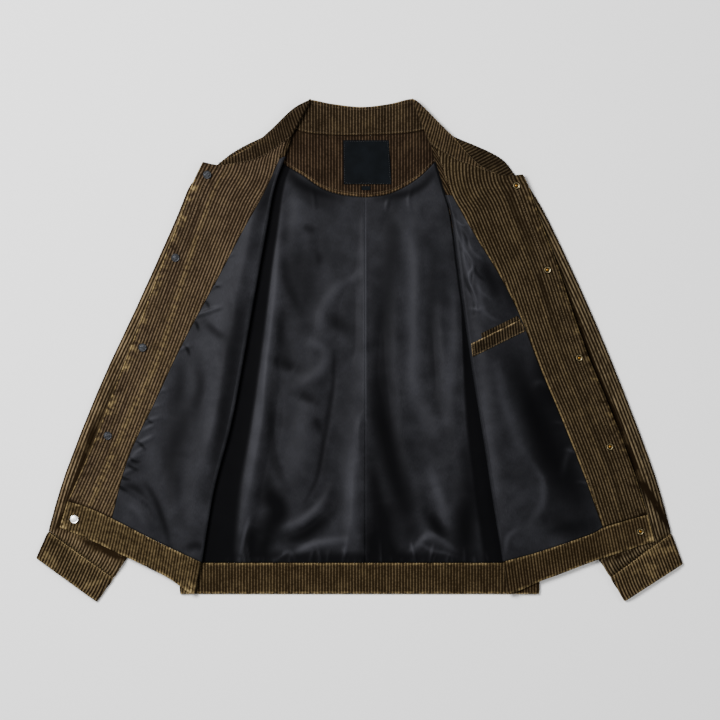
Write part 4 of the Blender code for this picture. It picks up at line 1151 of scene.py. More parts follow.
def make_satin_group():
    """Satin: long floats of thread that shine, with slightly uneven dye, darkened and dulled by painted shade
    and lightened by painted highlight.
    """
    outputs = {"Tone": "Float", "Roughness": "Float", "Weave": "Float"}
    group, _, result = new_group("satin", {}, outputs)
    place = own_place(group)
    painted_shade = add_node(group, "ShaderNodeAttribute", attribute_name="wear_and_shade").outputs["Fac"]
    clouds = noise(group, place, 11.0)
    crushed = noise(group, place, 34.0, 5.0)
    threads = add_node(group, "ShaderNodeMapping", {"Vector": place, "Scale": SATIN_THREADS}).outputs[0]
    weave = noise(group, threads, 1.0, 1.0)
    tone = spread(group, clouds, 0.3, 0.7, 0.34, 0.5)
    tone = times(group, tone, spread(group, weave, 0.2, 0.8, 0.7, 1.2))
    tone = times(group, tone, spread(group, crushed, 0.3, 0.7, 0.7, 1.3))
    painted_dark = maths(group, "MAXIMUM", painted_shade, 0.0)
    tone = times(group, tone, maths(group, "POWER", SATIN_SHADE_FLOOR, painted_dark))
    tone = maths(group, "SUBTRACT", tone, maths(group, "MINIMUM", painted_shade, 0.0))
    rough = maths(group, "MULTIPLY_ADD", painted_dark, 0.42, spread(group, clouds, 0.3, 0.7, 0.44, 0.5))
    group.links.new(tone, result.inputs["Tone"])
    group.links.new(rough, result.inputs["Roughness"])
    group.links.new(weave, result.inputs["Weave"])
    return group


satin_group = make_satin_group()


def satin(name, dark, light):
    """A satin finish between two tones of its dye."""

    def look(tree, shader):
        cloth = add_node(tree, "ShaderNodeGroup", node_tree=satin_group)
        height = times(tree, cloth.outputs["Weave"], SATIN_BUMP)
        covered(tree, shader, mixed(tree, cloth.outputs["Tone"], dark, light), height, 0.5)
        tree.links.new(cloth.outputs["Roughness"], shader.inputs["Roughness"])

    return new_material(
        name, look, Specular_IOR_Level=0.06, Specular_Tint=(0.9, 0.9, 1.0, 1.0), Sheen_Weight=0.005,
        Sheen_Roughness=0.35,
    )


charcoal_satin = satin("charcoal_satin", (0.0006, 0.0006, 0.0007, 1.0), (0.0228, 0.0230, 0.0268, 1.0))


def lining_piece(node, grid, creased, painted_shade):
    """A lining of satin on a grid, with the heights of its creases, and its painted shade and painted
    highlight.
    """
    part, _ = wall_part(grid, SATIN, lengths(grid, 1), painted_shade, creased, keep=(40, 24))
    lining = add_piece(f"{node}_satin", [part], charcoal_satin)
    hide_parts(node)


for side, hand in (("left", -1), ("right", 1)):
    roll = front_forms[side]["roll"]
    foot_end = roll[0][0] + hand * LINING_TUCK * 0.5
    arc = [point for point in NECK_FACING_LOW[::hand] if hand * (point[0] - CENTRE_SEAM_X) > 0]
    seam_x = CENTRE_SEAM_X + hand * LINING_SEAM / 2
    top = by_length([(seam_x, LINING_TOP_Y), *arc], np.linspace(0, 1, 15))
    foot_width = foot_end - CENTRE_SEAM_X
    grid = panel_grid(BACK_LINING_SIZE, top, seam_x, foot_width, HEM_Y + SEAM_GAP, BACK_LINING_GAP)
    plan = grid[..., :2]
    roll_line = along(roll, np.linspace(0, 1, 60))
    roll_x = np.interp(plan[..., 1], roll_line[:, 1], roll_line[:, 0])
    inside = fade(1 - np.clip(hand * (roll_x - plan[..., 0]) / ROLL_CLEARANCE, 0, 1))
    ends = from_ends(grid)
    held = 1 - fade(ends / END_HOLD)
    extra = crease_height(plan, BACK_CREASES) + rippled(plan)
    gathers = crease_height(plan, hem_gathers())
    extra = extra * held + gathers * np.clip(ends / 2.5, 0.25, 1)
    seam = -0.12 * bell(plan[..., 0] - CENTRE_SEAM_X, 1.4)
    folds = fold_height(plan)
    grid[..., 2] = BACK_LINING_Z + folds + np.maximum((extra + seam) * inside, -folds)
    # painted shade: the roll's shadow beside it and BACK_SHADES, with painted highlight on the hem gathers
    shade_width = np.interp(plan[..., 1], *np.transpose(ROLL_SHADE[side]))
    painted_shade = 1.1 * fade(np.clip(hand * (roll_x - plan[..., 0]) / shade_width - 0.7, 0, 0.4) / 0.4)
    painted_shade = painted_shade + crease_height(plan, BACK_SHADES)
    painted_shade = np.clip(np.clip(painted_shade, -0.7, 0.8) - GATHER_SHEEN * gathers, -0.7, 1.1)
    if hand < 0:
        grid, painted_shade = grid[:, ::-1], painted_shade[:, ::-1]
    lining_piece(f"back_lining_{side}", grid, np.zeros(grid.shape[:2]), painted_shade)

CRINKLE_WIDTH = 3.5  # creases narrower than this get a painted highlight
# how strong the painted highlight on those creases is
CRINKLE_SHEEN = 0.34
LINING_SHARES = np.linspace(0.0003, 0.8452, 266)[:, None]  # the facing seam meets the roll there
for side, form in front_forms.items():
    v = LINING_SHARES
    radius = roll_radius(v)
    tucked = under_grid(form, radius + LINING_TUCK * np.linspace(1, 0.12, TUCK_STEPS)[None, :], v)
    over = turned_grid(form, from_to(radius, seam_distance(form, v) - SEAM, LINING_STEPS)[:, 1:], v)
    grid = face_up(form, np.concatenate((tucked, roll_grid(form, v), over), axis=1))
    grid = grid + standing(grid) * LINING_OUT
    held = np.zeros(TUCK_STEPS + ROLL_STEPS - 1)
    upper = np.concatenate((held, np.linspace(0, 1, LINING_STEPS) ** 0.35))[None, :]
    upper = upper[:, ::-1] if form["left"] else upper
    plan = grid[..., :2]
    ends = from_ends(grid)
    slack = (crease_height(plan, FRONT_CREASES[side]) + 0.8 * rippled(plan)) * upper * np.clip(ends / 8, 0, 1)
    crinkles = [crease for crease in FRONT_CREASES[side] if crease[1] < CRINKLE_WIDTH]
    # painted shade from FRONT_SHADES, with painted highlight on the narrow creases
    painted_shade = crease_height(plan, FRONT_SHADES[side]) - CRINKLE_SHEEN * crease_height(plan, crinkles)
    painted_shade = np.clip(painted_shade, -0.6, 1.0) * (upper > 0.05)
    lining_piece(f"front_lining_{side}", grid, np.maximum(slack, -0.25), painted_shade)

# ------------------------------------------------------------------ neck facing, label and tab
# A shaped piece of brown corduroy finishes the neck inside, its ribs upright. The black woven label
# is folded and stitched round its edge, and is left bare, and a small bare tab hangs below it.

NECK_FACING_Z = CORDUROY + SEAM + FACING / 2
LABEL = 1.0
LABEL_Z = NECK_FACING_Z + FACING / 2 + SEAM + LABEL / 2
LABEL_CORNERS = ((-23, 240), (46.5, 240), (42.5, 304), (-23.5, 304))
NECK_ROWS = 50
NECK_END_SHADE = 0.5  # painted shade where it goes under the fronts
NECK_END_WIDTH = 34.0
TAB_CENTRE = (9.5, 234.5)
TAB_SIZE = (13.0, 6.0)
LABEL_SEAM_SHARE = 0.025  # how far in from its edges the label is stitched
LABEL_TONES = ((0.0010, 0.0016, 0.0024, 1.0), (0.0020, 0.0030, 0.0042, 1.0))
LABEL_THREADS = (("X", 7200.0), ("Y", 9000.0))  # how fine its weave is
LABEL_BUMP = 0.00005  # metres
NECK_TONES = ((0.044, 0.028, 0.0165, 1.0), (0.0050, 0.0026, 0.0012, 1.0), (0.15, 0.100, 0.048, 1.0))

neck_corduroy = corduroy("neck_corduroy", *NECK_TONES, rubbed=0.05)
steps = np.linspace(0, 1, RIB_SAMPLES * 62 + 1)
low = by_length(NECK_FACING_LOW, steps)
high = by_length(moved_aside(BACK_NECK[1:-1], -SEAM_GAP), steps)
rows = np.linspace(0, 1, NECK_ROWS)[:, None, None]
grid = at_height(low + (high - low) * rows, NECK_FACING_Z)
count = grid[..., 0] / RIB_PITCH
from_low = lengths(grid, 0)
from_high = from_low[-1:] - from_low
relief = ribs(count, grid[..., 1]) + pulled_in(from_low) + pulled_in(from_high)
# real wear at its lower edge; painted shadow under the collar's seam, and painted shade at its ends
wear_and_shade = 0.45 * bell(from_low - 1.4, 1.4) - bell(from_high, SEAM_SHADOW_WIDTH)
wear_and_shade = wear_and_shade - NECK_END_SHADE * fade(from_ends(grid, 1) / NECK_END_WIDTH)
part, neck_face = wall_part(grid, FACING, count, wear_and_shade, relief, keep=(8, 60))
neck_facing = add_piece("neck_facing_cloth", [part], neck_corduroy)
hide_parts("neck_facing")
parts = stitches(on_face(neck_face, 0.055, np.linspace(0.01, 0.99, 300)))
add_piece("neck_facing_stitching", parts, brown_thread)


def plate_grid(corners, steps_across, steps_up):
    """Plan points between four corners, given anticlockwise."""
    a, b, c, d = (np.array(corner, float) for corner in corners)
    u = np.linspace(0, 1, steps_across)[None, :, None]
    w = np.linspace(0, 1, steps_up)[:, None, None]
    return (a + (b - a) * u) * (1 - w) + (d + (c - d) * u) * w


def woven_look(tree, shader):
    """A tight black weave."""
    place = own_place(tree)
    apart = add_node(tree, "ShaderNodeSeparateXYZ", {"Vector": place})
    over, under = (
        maths(tree, "SINE", times(tree, apart.outputs[axis], threads))
        for axis, threads in LABEL_THREADS
    )
    tone = spread(tree, noise(tree, place, 60.0), 0.3, 0.7)
    height = times(tree, times(tree, over, under), LABEL_BUMP)
    covered(tree, shader, mixed(tree, tone, *LABEL_TONES), height, 0.6)


woven_label = new_material("woven_label", woven_look, Roughness=0.8, Specular_IOR_Level=0.07)
tab_corners = np.array(TAB_CENTRE) + np.array(CORNERS) * TAB_SIZE / 2
for node, corners, steps in (("label", LABEL_CORNERS, (60, 60)), ("size_tab", tab_corners, (22, 16))):
    plan = plate_grid(corners, *steps)
    grid = at_height(plan, LABEL_Z)
    across, up = lengths(grid, 1), lengths(grid, 0)
    to_edge = np.minimum(from_ends(grid, 1), from_ends(grid))
    pillow = 0.35 * (1 - bell(to_edge, 7.0))
    fold = 0.25 * (1 - fade((to_edge - 2.2) / 1.4)) if node == "label" else 0.0
    relief = pillow + rounded(to_edge, 0.5) - 0.3 + fold * 0.5 + 0.1 * np.sin(across / 7) * np.sin(up / 9)
    part, face = wall_part(grid, LABEL, across, 0.0, relief, keep=(6, 6))
    piece = add_piece(f"{node}_cloth", [part], woven_label)
    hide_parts(node)
    if node == "label":
        near, far = LABEL_SEAM_SHARE, 1 - LABEL_SEAM_SHARE
        ring = ((near, near), (far, near), (far, far), (near, far), (near, near))
        ring = np.concatenate([np.linspace(a, b, 30) for a, b in zip(ring, ring[1:])])
        label_thread = new_material("label_thread", woven_look, Roughness=0.4, Specular_IOR_Level=0.5)
        parts = stitches(on_face(face, ring[:, 1], ring[:, 0]))
        add_piece("label_stitching", parts, label_thread)

# ------------------------------------------------------------------ inner pocket
# A welt of corduroy, its ribs across it, is sewn into the lining of the right front. Above its
# rubbed top edge shows the dark corduroy that backs the pocket's mouth.

WELT_OUT = LINING_OUT + SATIN / 2 + SEAM + FACING / 2
WELT_CORNERS = ((163.5, -10), (240, 27.5), (232.5, 44.2), (161.5, 9))
BACKING_CORNERS = ((177, 16.9), (231.7, 44.3), (229, 49.7), (176, 24))
WELT_TONES = ((0.046, 0.033, 0.018, 1.0), (0.0038, 0.0022, 0.001, 1.0), (0.23, 0.165, 0.082, 1.0))


def turned_height(form, plan):
    """The height of the middle of the turned front at plan points."""
    line = fine_curve(form["roll"])
    distance, run = nearest(plan, line)
    return TURNED_Z + turned_rise(distance, run / pieces_of(line).sum())


welt_corduroy = corduroy("welt_corduroy", *WELT_TONES)
for node, corners, steps in (
    ("pocket_welt", WELT_CORNERS, (140, 24)),
    ("pocket_backing", BACKING_CORNERS, (100, 10)),
):
    plan = plate_grid(corners, *steps)
    height = turned_height(front_forms["right"], plan) + WELT_OUT
    grid = at_height(plan, height)
    across, up = lengths(grid, 1), lengths(grid, 0)
    to_edge = np.minimum(from_ends(grid, 1), from_ends(grid))
    from_top = up[-1:] - up
    count = across / RIB_PITCH
    wear_and_shade = 0.9 * bell(from_top, 1.5) + 0.7 * bell(to_edge, 0.9) if node == "pocket_welt" else 0.0
    lift = 0.6 * bell(from_top - 2.4, 2.4) if node == "pocket_welt" else 0.0
    relief = ribs(count, up) + rounded(to_edge, 1.0) + lift
    part, face = wall_part(grid, FACING, count, wear_and_shade, relief, keep=(8, 8))
    piece = add_piece(f"{node}_cloth", [part], welt_corduroy)
    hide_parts(node)
    if node == "pocket_welt":
        parts = stitches(on_face(face, 0.09, np.linspace(0.02, 0.98, 60)))
        for end in (0.03, 0.97):
            parts += stitches(on_face(face, np.linspace(0.05, 0.95, 12), end))
        add_piece("pocket_welt_stitching", parts, brown_thread)

# ------------------------------------------------------------------ shoulders
# The back's cloth comes forward over each shoulder in a narrow strip, folded at the top and sewn
# to the front below. Little of it shows beside the collar.

FORWARD_SEAM_INSET = 5.0
SHOULDER_CURL_SHARE = 0.6
SHOULDER_RIB_DEGREES = {"left": 128.0, "right": 28.0}  # from +X, the direction of its ribs
# the right crest is darker: painted shade beside the collar's wing
SHOULDER_CRESTS = {"left": (0.056, 0.038, 0.020, 1.0), "right": (0.036, 0.026, 0.014, 1.0)}

for side, fold in (("left", SHOULDER_LEFT), ("right", SHOULDER_RIGHT)):
    form = front_forms[side]
    shares = np.linspace(0, 1, 190)
    outer = by_length(fold, shares)
    neck, tip = form["roll"][-1], form["side"][-1]
    neck_end = neck + (tip - neck) / np.linalg.norm(tip - neck) * FORWARD_SEAM_INSET
    seam = moved_aside([neck_end, tip], -SEAM_GAP if form["left"] else SEAM_GAP)
    inner = seam[0] + (seam[1] - seam[0]) * shares[:, None]
    reach = np.linalg.norm(inner - outer, axis=1, keepdims=True)
    inward = (inner - outer) / reach
    curl = np.minimum(SIDE_CURL, SHOULDER_CURL_SHARE * reach)
    strip = []
    for angle in np.linspace(0, np.pi / 2, 10):
        plan = outer + inward * (CORDUROY / 2 + curl * (1 - math.cos(angle)))
        strip.append((plan, UNDER_Z - SIDE_CURL * (1 - math.sin(angle))))
    start = outer + inward * (CORDUROY / 2 + curl)
    for share in np.linspace(0, 1, 44)[1:]:
        strip.append((start + (inner - start) * share, UNDER_Z))
    grid = face_up(form, np.stack([at_height(plan, z) for plan, z in strip], axis=1))
    turn = math.radians(SHOULDER_RIB_DEGREES[side])
    count = (grid[..., 1] * math.cos(turn) - grid[..., 0] * math.sin(turn)) / RIB_PITCH
    relief = ribs(count, grid[..., 0] * math.cos(turn) + grid[..., 1] * math.sin(turn))
    tones = (SHOULDER_CRESTS[side], OLIVE_VALLEY, WORN_GOLD)
    shoulder_corduroy = corduroy(f"shoulder_corduroy_{side}", *tones)
    part, _ = wall_part(grid, CORDUROY, count, 0.0, relief, keep=(40, 10))
    shoulder = add_piece(f"shoulder_{side}_cloth", [part], shoulder_corduroy)
    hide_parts(f"shoulder_{side}")

# ------------------------------------------------------------------ sleeves and cuffs
# Each sleeve is one tube of corduroy, seamed under the arm, with its ribs along it. It lies flat
# below the turned front, is fuller where it comes out, and is drawn into a stitched cuff.

CUFF_WALL = 2.4
CUFF_GAP = 0.05
CUFF_STITCH = 1.8
SLEEVE_SECTIONS = 80
CUFF_SECTIONS = 28
TUBE_STEPS = 200  # across each side of a tube
SLEEVE_TABLE = {
    "left": (
        # section     outer_x  outer_y  inner_x  inner_y
        ("armhole", -229, 250, -260.5, 29.5),
        ("cap", -246, 237.5, -262, 12),
        ("upper arm", -269, 183, -264.5, -14.5),
        ("elbow", -321, 67, -269, -72.5),
        ("forearm", -375, -49.5, -280.5, -159.5),
        ("wrist", -425.5, -177, -309.5, -254),
        ("cuff seam", -451.3, -262.4, -355.4, -330.4),
    ),
    "right": (
        ("armhole", 229, 250, 260.5, 29.5),
        ("cap", 244.5, 237.5, 262.5, 12),
        ("upper arm", 276, 183, 266, -14.5),
        ("elbow", 330, 67, 273.5, -72.5),
        ("forearm", 378.5, -49.5, 288, -159.5),
        ("wrist", 426.5, -177, 322.5, -261),
        ("cuff seam", 451.9, -265.2, 362.4, -329.3),
    ),
}
CUFF_OPENING = {"left": (-469, -302, -380.5, -365.2), "right": (469, -310.5, 384, -364.6)}
BAND_LOW = {
    # the free edge of the waistband's turned legs, from the fold beside the back to the front's edge
    "left": ((-238.5, -353), (-247, -351), (-279, -329), (-331, -303), (-389, -275.5), (-434, -256.5)),
    "right": ((216, -353.5), (222.5, -352), (261.5, -335), (289, -325), (343, -304.5), (427, -277)),
}
COVER_BAND_POINTS = [0, 3, 4, 5]  # of that edge, and of the front's, in the outline that covers the sleeve
COVER_EDGE_POINTS = [0, 1, 2, 3, 4, 5, 6, 8]
SLEEVE_PUFF = 6.8
SLEEVE_HOLD = 14  # over which it lies flat again at its ends and inner seam
CUFF_PUFF = 2.4
CUFF_HOLD = 12
SLEEVE_GAP_SHADE = {
    # height up the sleeve, and how much painted shade darkens it beside the front's edge
    "left": ((-240, 0.5), (-200, 0.85), (-90, 0.8), (-40, 0.25), (100, 0.1)),
    "right": ((-260, 0.2), (-190, 0.5), (-150, 0.85), (20, 0.85), (120, 0.6), (220, 0.2)),
}
SLEEVE_FOLD_SHADE = 0.24  # painted shade for each millimetre that a fold goes down
SLEEVE_SHADES = {
    # how much painted shade in a fold's valley or under the waistband's edge, width, points along it
    "left": (
        (1.4, 3.6, ((-381, -93), (-394, -136), (-405, -177), (-420, -220), (-434, -249), (-449, -270))),
        (0.45, 3, ((-420, -148), (-431, -191), (-440, -229))),
        (0.8, 7, ((-392, -281), (-372, -289), (-352, -298), (-326, -311))),
        (0.7, 3, ((-325, -310), (-389, -280), (-430, -262))),
        (0.35, 7, ((-411, -273), (-394, -284), (-379, -293))),
    ),
    "right": (
        (1.2, 4.4, ((350, -50), (365, -84), (379, -120), (394, -156), (405, -184))),
        (1.3, 4.4, ((398, -168), (405, -184), (416, -202), (428, -222), (440, -244), (449, -262))),
        (0.35, 2.6, ((383, -90), (404, -140), (424, -186), (440, -226))),
        (0.6, 3, ((299, 87), (314, 46), (331, 0), (349, -49))),
        (0.4, 6, ((355, -313), (372, -302), (392, -290))),
        (0.7, 3, ((300, -325), (343, -308), (385, -295), (424, -281))),
    ),
}
SLEEVE_CREASES = {
    "left": (
        (1.8, 8, ((-440, -256), (-424, -190), (-404, -120), (-384, -70))),
        (-1.5, 6, ((-430, -252), (-412, -196), (-396, -150))),
        (1.5, 7, ((-448, -250), (-436, -200), (-420, -140))),
        (-1, 9, ((-372, -70), (-352, -20), (-336, 30))),
        (1.2, 9, ((-346, -30), (-326, 20), (-306, 78))),
        (-1.2, 6, ((-392, -300), (-376, -285), (-352, -278))),
        (1.2, 6, ((-404, -292), (-392, -280), (-366, -268))),
        (1.2, 8, ((-296, 120), (-276, 168), (-262, 206))),
    ),
    "right": (
        (-3.6, 4.2, ((362, -72), (378, -118), (394, -156), (408, -190))),
        (2.2, 4, ((396, -128), (414, -176), (434, -214), (448, -244))),
        (-3.8, 3.8, ((398, -170), (411, -194), (427, -220), (440, -243), (449, -260))),
        (1.6, 4, ((412, -222), (423, -244), (436, -258))),
        (2.4, 7, ((452, -250), (440, -206), (424, -150), (406, -100))),
        (-1.6, 4, ((398, -70), (420, -122), (440, -180), (452, -236))),
        (1.2, 9, ((396, -90), (376, -40), (356, 14))),
        (-1.1, 8, ((372, -70), (354, -22), (338, 26))),
        (1.2, 8, ((330, 66), (306, 120), (284, 170))),
        (-1.3, 6, ((408, -296), (392, -284), (370, -276))),
        (1.3, 6, ((420, -288), (404, -276), (378, -264))),
    ),
}
SLEEVE_TONES = {
    "left": ((0.152, 0.110, 0.062, 1.0), (0.0100, 0.0056, 0.0022, 1.0), WORN_GOLD),
    "right": ((0.120, 0.091, 0.051, 1.0), (0.0068, 0.0038, 0.0015, 1.0), WORN_GOLD),
}
CUFF_TONES = ((0.094, 0.067, 0.034, 1.0), (0.0062, 0.0035, 0.0012, 1.0), (0.24, 0.175, 0.078, 1.0))


def square_to(line, share):
    """The plan direction to the left of a line, at shares of its length."""
    step = along(line, np.minimum(share + 0.01, 1)) - along(line, np.maximum(share - 0.01, 0))
    step /= np.linalg.norm(step, axis=-1, keepdims=True)
    return np.stack((-step[..., 1], step[..., 0]), axis=-1)


def upper_only(relief, upper):
    """The relief of a tube, whose underside lies flat."""
    return np.where(upper > 0, relief, np.minimum(relief, 0))


def tube_grid(table, sections, height, wall):
    """A flattened tube seamed at its inner edge: its points, their place round it and upper share."""
    table = np.array(table)
    outer_line, inner_line = table[:, :2], table[:, 2:]
    v = np.linspace(0, 1, sections)[:, None]
    radius = (height - wall) / 2
    start = wall / 2 + radius
    outer, inner = along(outer_line, v), along(inner_line, v)
    inward = square_to(outer_line, v)
    inward *= np.sign((inward[-1, 0] @ (inner - outer)[-1, 0]))
    outward = square_to(inner_line, v)
    outward *= np.sign((outward[-1, 0] @ (inner - outer)[-1, 0]))
    near, far = outer + inward * start, inner - outward * start
    fine = along(outer_line, np.linspace(0, 1, 80))
    share = np.linspace(0, 1, TUBE_STEPS)[None, :, None]
    angle = np.linspace(0, np.pi / 2, 5)[None, :, None]
    later = angle[:, 1:]
    wide = np.linspace(0, np.pi, 9)[None, 1:, None]
    flat = near + (far - near) * share
    flat_place = np.pi / 2 * radius + nearest(flat, fine)[0] - start
    far_place = flat_place[:, -1:] + radius * np.pi / 2
    below_place = -flat_place[:, -1:] - radius * later[..., 0]
    pieces = (
        # plan, height over the middle, place
        (far + outward * radius * np.cos(angle), radius * np.sin(angle), far_place - radius * angle[..., 0]),
        (flat[:, ::-1][:, 1:], radius, flat_place[:, ::-1][:, 1:]),
        (near - inward * radius * np.sin(wide), radius * np.cos(wide), radius * (np.pi / 2 - wide[..., 0])),
        (flat[:, 1:], -radius, -flat_place[:, 1:]),
        (far + outward * radius * np.sin(later), -radius * np.cos(later), below_place),
    )
    grid, place, upper = [], [], []
    for plan, z, at in pieces:
        z = np.broadcast_to(z, (*plan.shape[:2], 1))[..., 0]
        grid.append(at_height(plan, height / 2 + z))
        place.append(np.broadcast_to(at, plan.shape[:2]))
        upper.append(np.clip(z / radius, 0, 1))
    grid, place, upper = (np.concatenate(part, axis=1) for part in (grid, place, upper))
    if table[0][0] > 0:
        grid, place, upper = grid[:, ::-1], place[:, ::-1], upper[:, ::-1]
    return grid, place, upper


cuff_corduroy = corduroy("cuff_corduroy", *CUFF_TONES, rubbed=0.3)
for side, hand in (("left", -1), ("right", 1)):
    table = [row[1:] for row in SLEEVE_TABLE[side]]
    grid, place, upper = tube_grid(table, SLEEVE_SECTIONS, SLEEVE_HEIGHT, CORDUROY)
    plan = grid[..., :2]
    low_edge = np.array(BAND_LOW[side])[COVER_BAND_POINTS]
    cover = np.concatenate((low_edge, front_forms[side]["edge"][COVER_EDGE_POINTS]))
    clear = hand * (plan[..., 0] - np.interp(plan[..., 1], cover[:, 1], cover[:, 0]))
    free = 1 - fade(np.clip((clear - 2) / 15, 0, 1))
    inside = 1 - bell(place, 11)
    ends = 1 - fade(from_ends(grid) / SLEEVE_HOLD)
    inner_drop = np.clip((lengths(grid, 1)[:, -1:] / 2 - np.abs(place)) / SLEEVE_HOLD, 0, 1)
    folds = crease_height(plan, SLEEVE_CREASES[side])
    puff = (SLEEVE_PUFF + folds) * free * inside * ends * inner_drop
    grid[..., 2] += np.maximum(puff, -1.2) * upper
    count = place / RIB_PITCH
    sleeve_corduroy = corduroy(f"sleeve_corduroy_{side}", *SLEEVE_TONES[side], rubbed=0.12)
    length = lengths(grid, 0)
    relief = ribs(count, length) + pulled_in(length[-1:] - length) * 0.8
    wear_and_shade = 0.4 * bell(length[-1:] - length, 1.8)
    # painted shade beside the front's edge, in the folds' valleys and along SLEEVE_SHADES
    gap_shade = np.interp(plan[..., 1], *np.transpose(SLEEVE_GAP_SHADE[side]))
    shade = gap_shade * fade(np.clip((clear - 3) / 7, 0, 1))
    shade = shade + SLEEVE_FOLD_SHADE * np.maximum(-folds, 0) * free
    shade = shade + crease_height(plan, SLEEVE_SHADES[side])
    wear_and_shade = wear_and_shade - shade * (upper > 0)
    part, _ = wall_part(grid, CORDUROY, count, wear_and_shade, upper_only(relief, upper), keep=(40, 60))
    sleeve = add_piece(f"sleeve_{side}_cloth", [part], sleeve_corduroy)
    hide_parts(f"sleeve_{side}")

    outer, inner = np.array(table[-1][:2]), np.array(table[-1][2:])
    across = (inner - outer) / np.linalg.norm(inner - outer)
    down = np.array((across[1], -across[0]))
    down *= -np.sign(down[1])
    seam_row = (*(outer + down * CUFF_GAP), *(inner + down * CUFF_GAP))
    cuff_table = (seam_row, CUFF_OPENING[side])
    grid, place, upper = tube_grid(cuff_table, CUFF_SECTIONS, SLEEVE_HEIGHT, CUFF_WALL)
    length = lengths(grid, 0)
    inside = 1 - bell(place, 9)
    inner_drop = np.clip((lengths(grid, 1)[:, -1:] / 2 - np.abs(place)) / CUFF_HOLD, 0, 1)
    grid[..., 2] += CUFF_PUFF * inside * upper * inner_drop
    count = place / RIB_PITCH
    relief = ribs(count, length) + rounded(from_ends(grid), 1.2) + 0.6 * pulled_in(length - CUFF_STITCH)
    wear_and_shade = 0.5 * bell(length[-1:] - length - 0.8, 1.8) + 0.15 * bell(length - 3.5, 2.4)
    part, face = wall_part(grid, CUFF_WALL, count, wear_and_shade, upper_only(relief, upper), keep=(8, 60))
    cuff = add_piece(f"cuff_{side}_cloth", [part], cuff_corduroy)
    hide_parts(f"cuff_{side}")
    around = np.linspace(0.01, 0.99, 260)
    parts = stitches(on_face(face, CUFF_STITCH / length[-1].mean(), around))
    add_piece(f"cuff_{side}_stitching", parts, gold_thread)

# ------------------------------------------------------------------ collar and waistband
# Each is one stiffened band of corduroy sewn round the jacket's edge and topstitched. It folds
# over with the fronts, so that its ends lie turned out on top, and its rubbed edge shows gold.

BAND = 2.6
BAND_BACK_Z = BAND / 2
BAND_UNDER_Z = UNDER_Z
BAND_TURNED_Z = BAND_UNDER_Z + BAND + SEAM
BAND_BULGE = 2.4
TURN_RUN = 4.0
COLLAR_BACK_FREE = ((-82.5, 354), (-71, 362.5), (-40, 357), (3.5, 352.5), (44, 357), (76, 364), (86, 354))
COLLAR_WING = {
    "left": ((-70.5, 363.5), (-96.5, 349.5), (-127, 320.5), (-147, 303), (-166, 290.5), (-205, 270.6)),
    "right": (
        (76, 364), (86.5, 358), (117, 327.5), (140, 304.5),
        (153, 288.5), (172, 269.5), (186, 261), (201, 254.5),
    ),
}
COLLAR_TIP_SHARE = 0.73
BAND_SHADE = {"left wing": 0.38, "right wing": -0.07, "left leg": -0.1}  # painted shade on that part, or painted light below 0
BAND_ROUND = 1.3
BAND_ENDS = (("left wing", "left leg"), ("right wing", "right leg"))
HIDDEN_STEPS = 12  # across and along what lies under the collar's wings
LEG_HIDDEN_STEPS = 20  # along what lies under the waistband's turned ends
WING_RIB_LEAN = 18.0  # degrees, beside the fold
BAND_FOOT_Y = -353.5
WING_ROWS = 54
COLLAR_BACK_ROWS = 36
WAISTBAND_ROWS = 25
COLLAR_SEWN_WEAR = 0.1
COLLAR_STITCH = 3.0  # from its edges to where the topstitch pulls it in
COLLAR_STITCH_SHARES = (0.05, 0.9)  # of its width, where the thread lies
WAISTBAND_SEWN_WEAR = 1.7
WAISTBAND_STITCH = 2.2
WAISTBAND_STITCH_SHARES = (0.05, 0.95)
WORN_CORNERS = ((-434, -257), (-247, -351), (423, -273))
COLLAR_TONES = ((0.056, 0.039, 0.022, 1.0), (0.0050, 0.0027, 0.0010, 1.0), (0.19, 0.132, 0.060, 1.0))
WAISTBAND_TONES = ((0.060, 0.042, 0.021, 1.0), (0.0066, 0.0036, 0.0011, 1.0), (0.26, 0.190, 0.086, 1.0))


def leg_rail(rail, low, high, start, end, columns):
    """Points along one leg's edge, kept short of its folds, with a rise towards a fold."""
    total = curve_length(rail)
    at = start + (total - start - end) * np.linspace(0, 1, columns)
    raised = fade((total - at) / ROLL_BULGE_WIDTH) if high > low else 1 - fade(at / ROLL_BULGE_WIDTH)
    return np.column_stack((by_length(rail, at / total), low + (high - low) * raised))


def turn_rail(rail, low, high, steps=12):
    """The half turn at the end of a leg's edge, between two heights."""
    total = curve_length(rail)
    end, before = by_length(rail, 1.0), by_length(rail, 1 - TURN_RUN / total)
    onward = (end - before) / np.linalg.norm(end - before)
    angle = np.pi * (np.linspace(0, 1, steps)[1:-1, None] - 0.5)
    plan = end - onward * abs(high - low) / 2 * (1 - np.cos(angle))
    return np.column_stack((plan, (low + high) / 2 + (high - low) / 2 * np.sin(angle)))


def band_rails(legs):
    """Both edges of a band whose legs lie on each other, and the column where each part starts.

    Each leg is (sewn edge, free edge, height at its start, height at its end, columns).
    """
    rails = []
    for side in (0, 1):
        parts = []
        for i, (*edges, low, high, columns) in enumerate(legs):
            start = abs(low - legs[i - 1][3]) / 2 if i else 0.0
            end = abs(high - legs[i + 1][2]) / 2 if i + 1 < len(legs) else 0.0
            parts.append(leg_rail(edges[side], low, high, start, end, columns))
            if i + 1 < len(legs):
                parts.append(turn_rail(edges[side], high, legs[i + 1][2]))
        rails.append(np.concatenate(parts))
    starts = np.concatenate(([0], np.cumsum([len(part) for part in parts])))
    return rails[0], rails[1], starts


def band_shares(rows):
    """Shares of a band's width for its rows, which lie closer at its edges."""
    even = np.linspace(0, 1, rows)
    return even - 0.75 * np.sin(2 * np.pi * even) / (2 * np.pi)


def across_rails(sewn, free, rows):
    return sewn + (free - sewn) * band_shares(rows)[:, None, None]


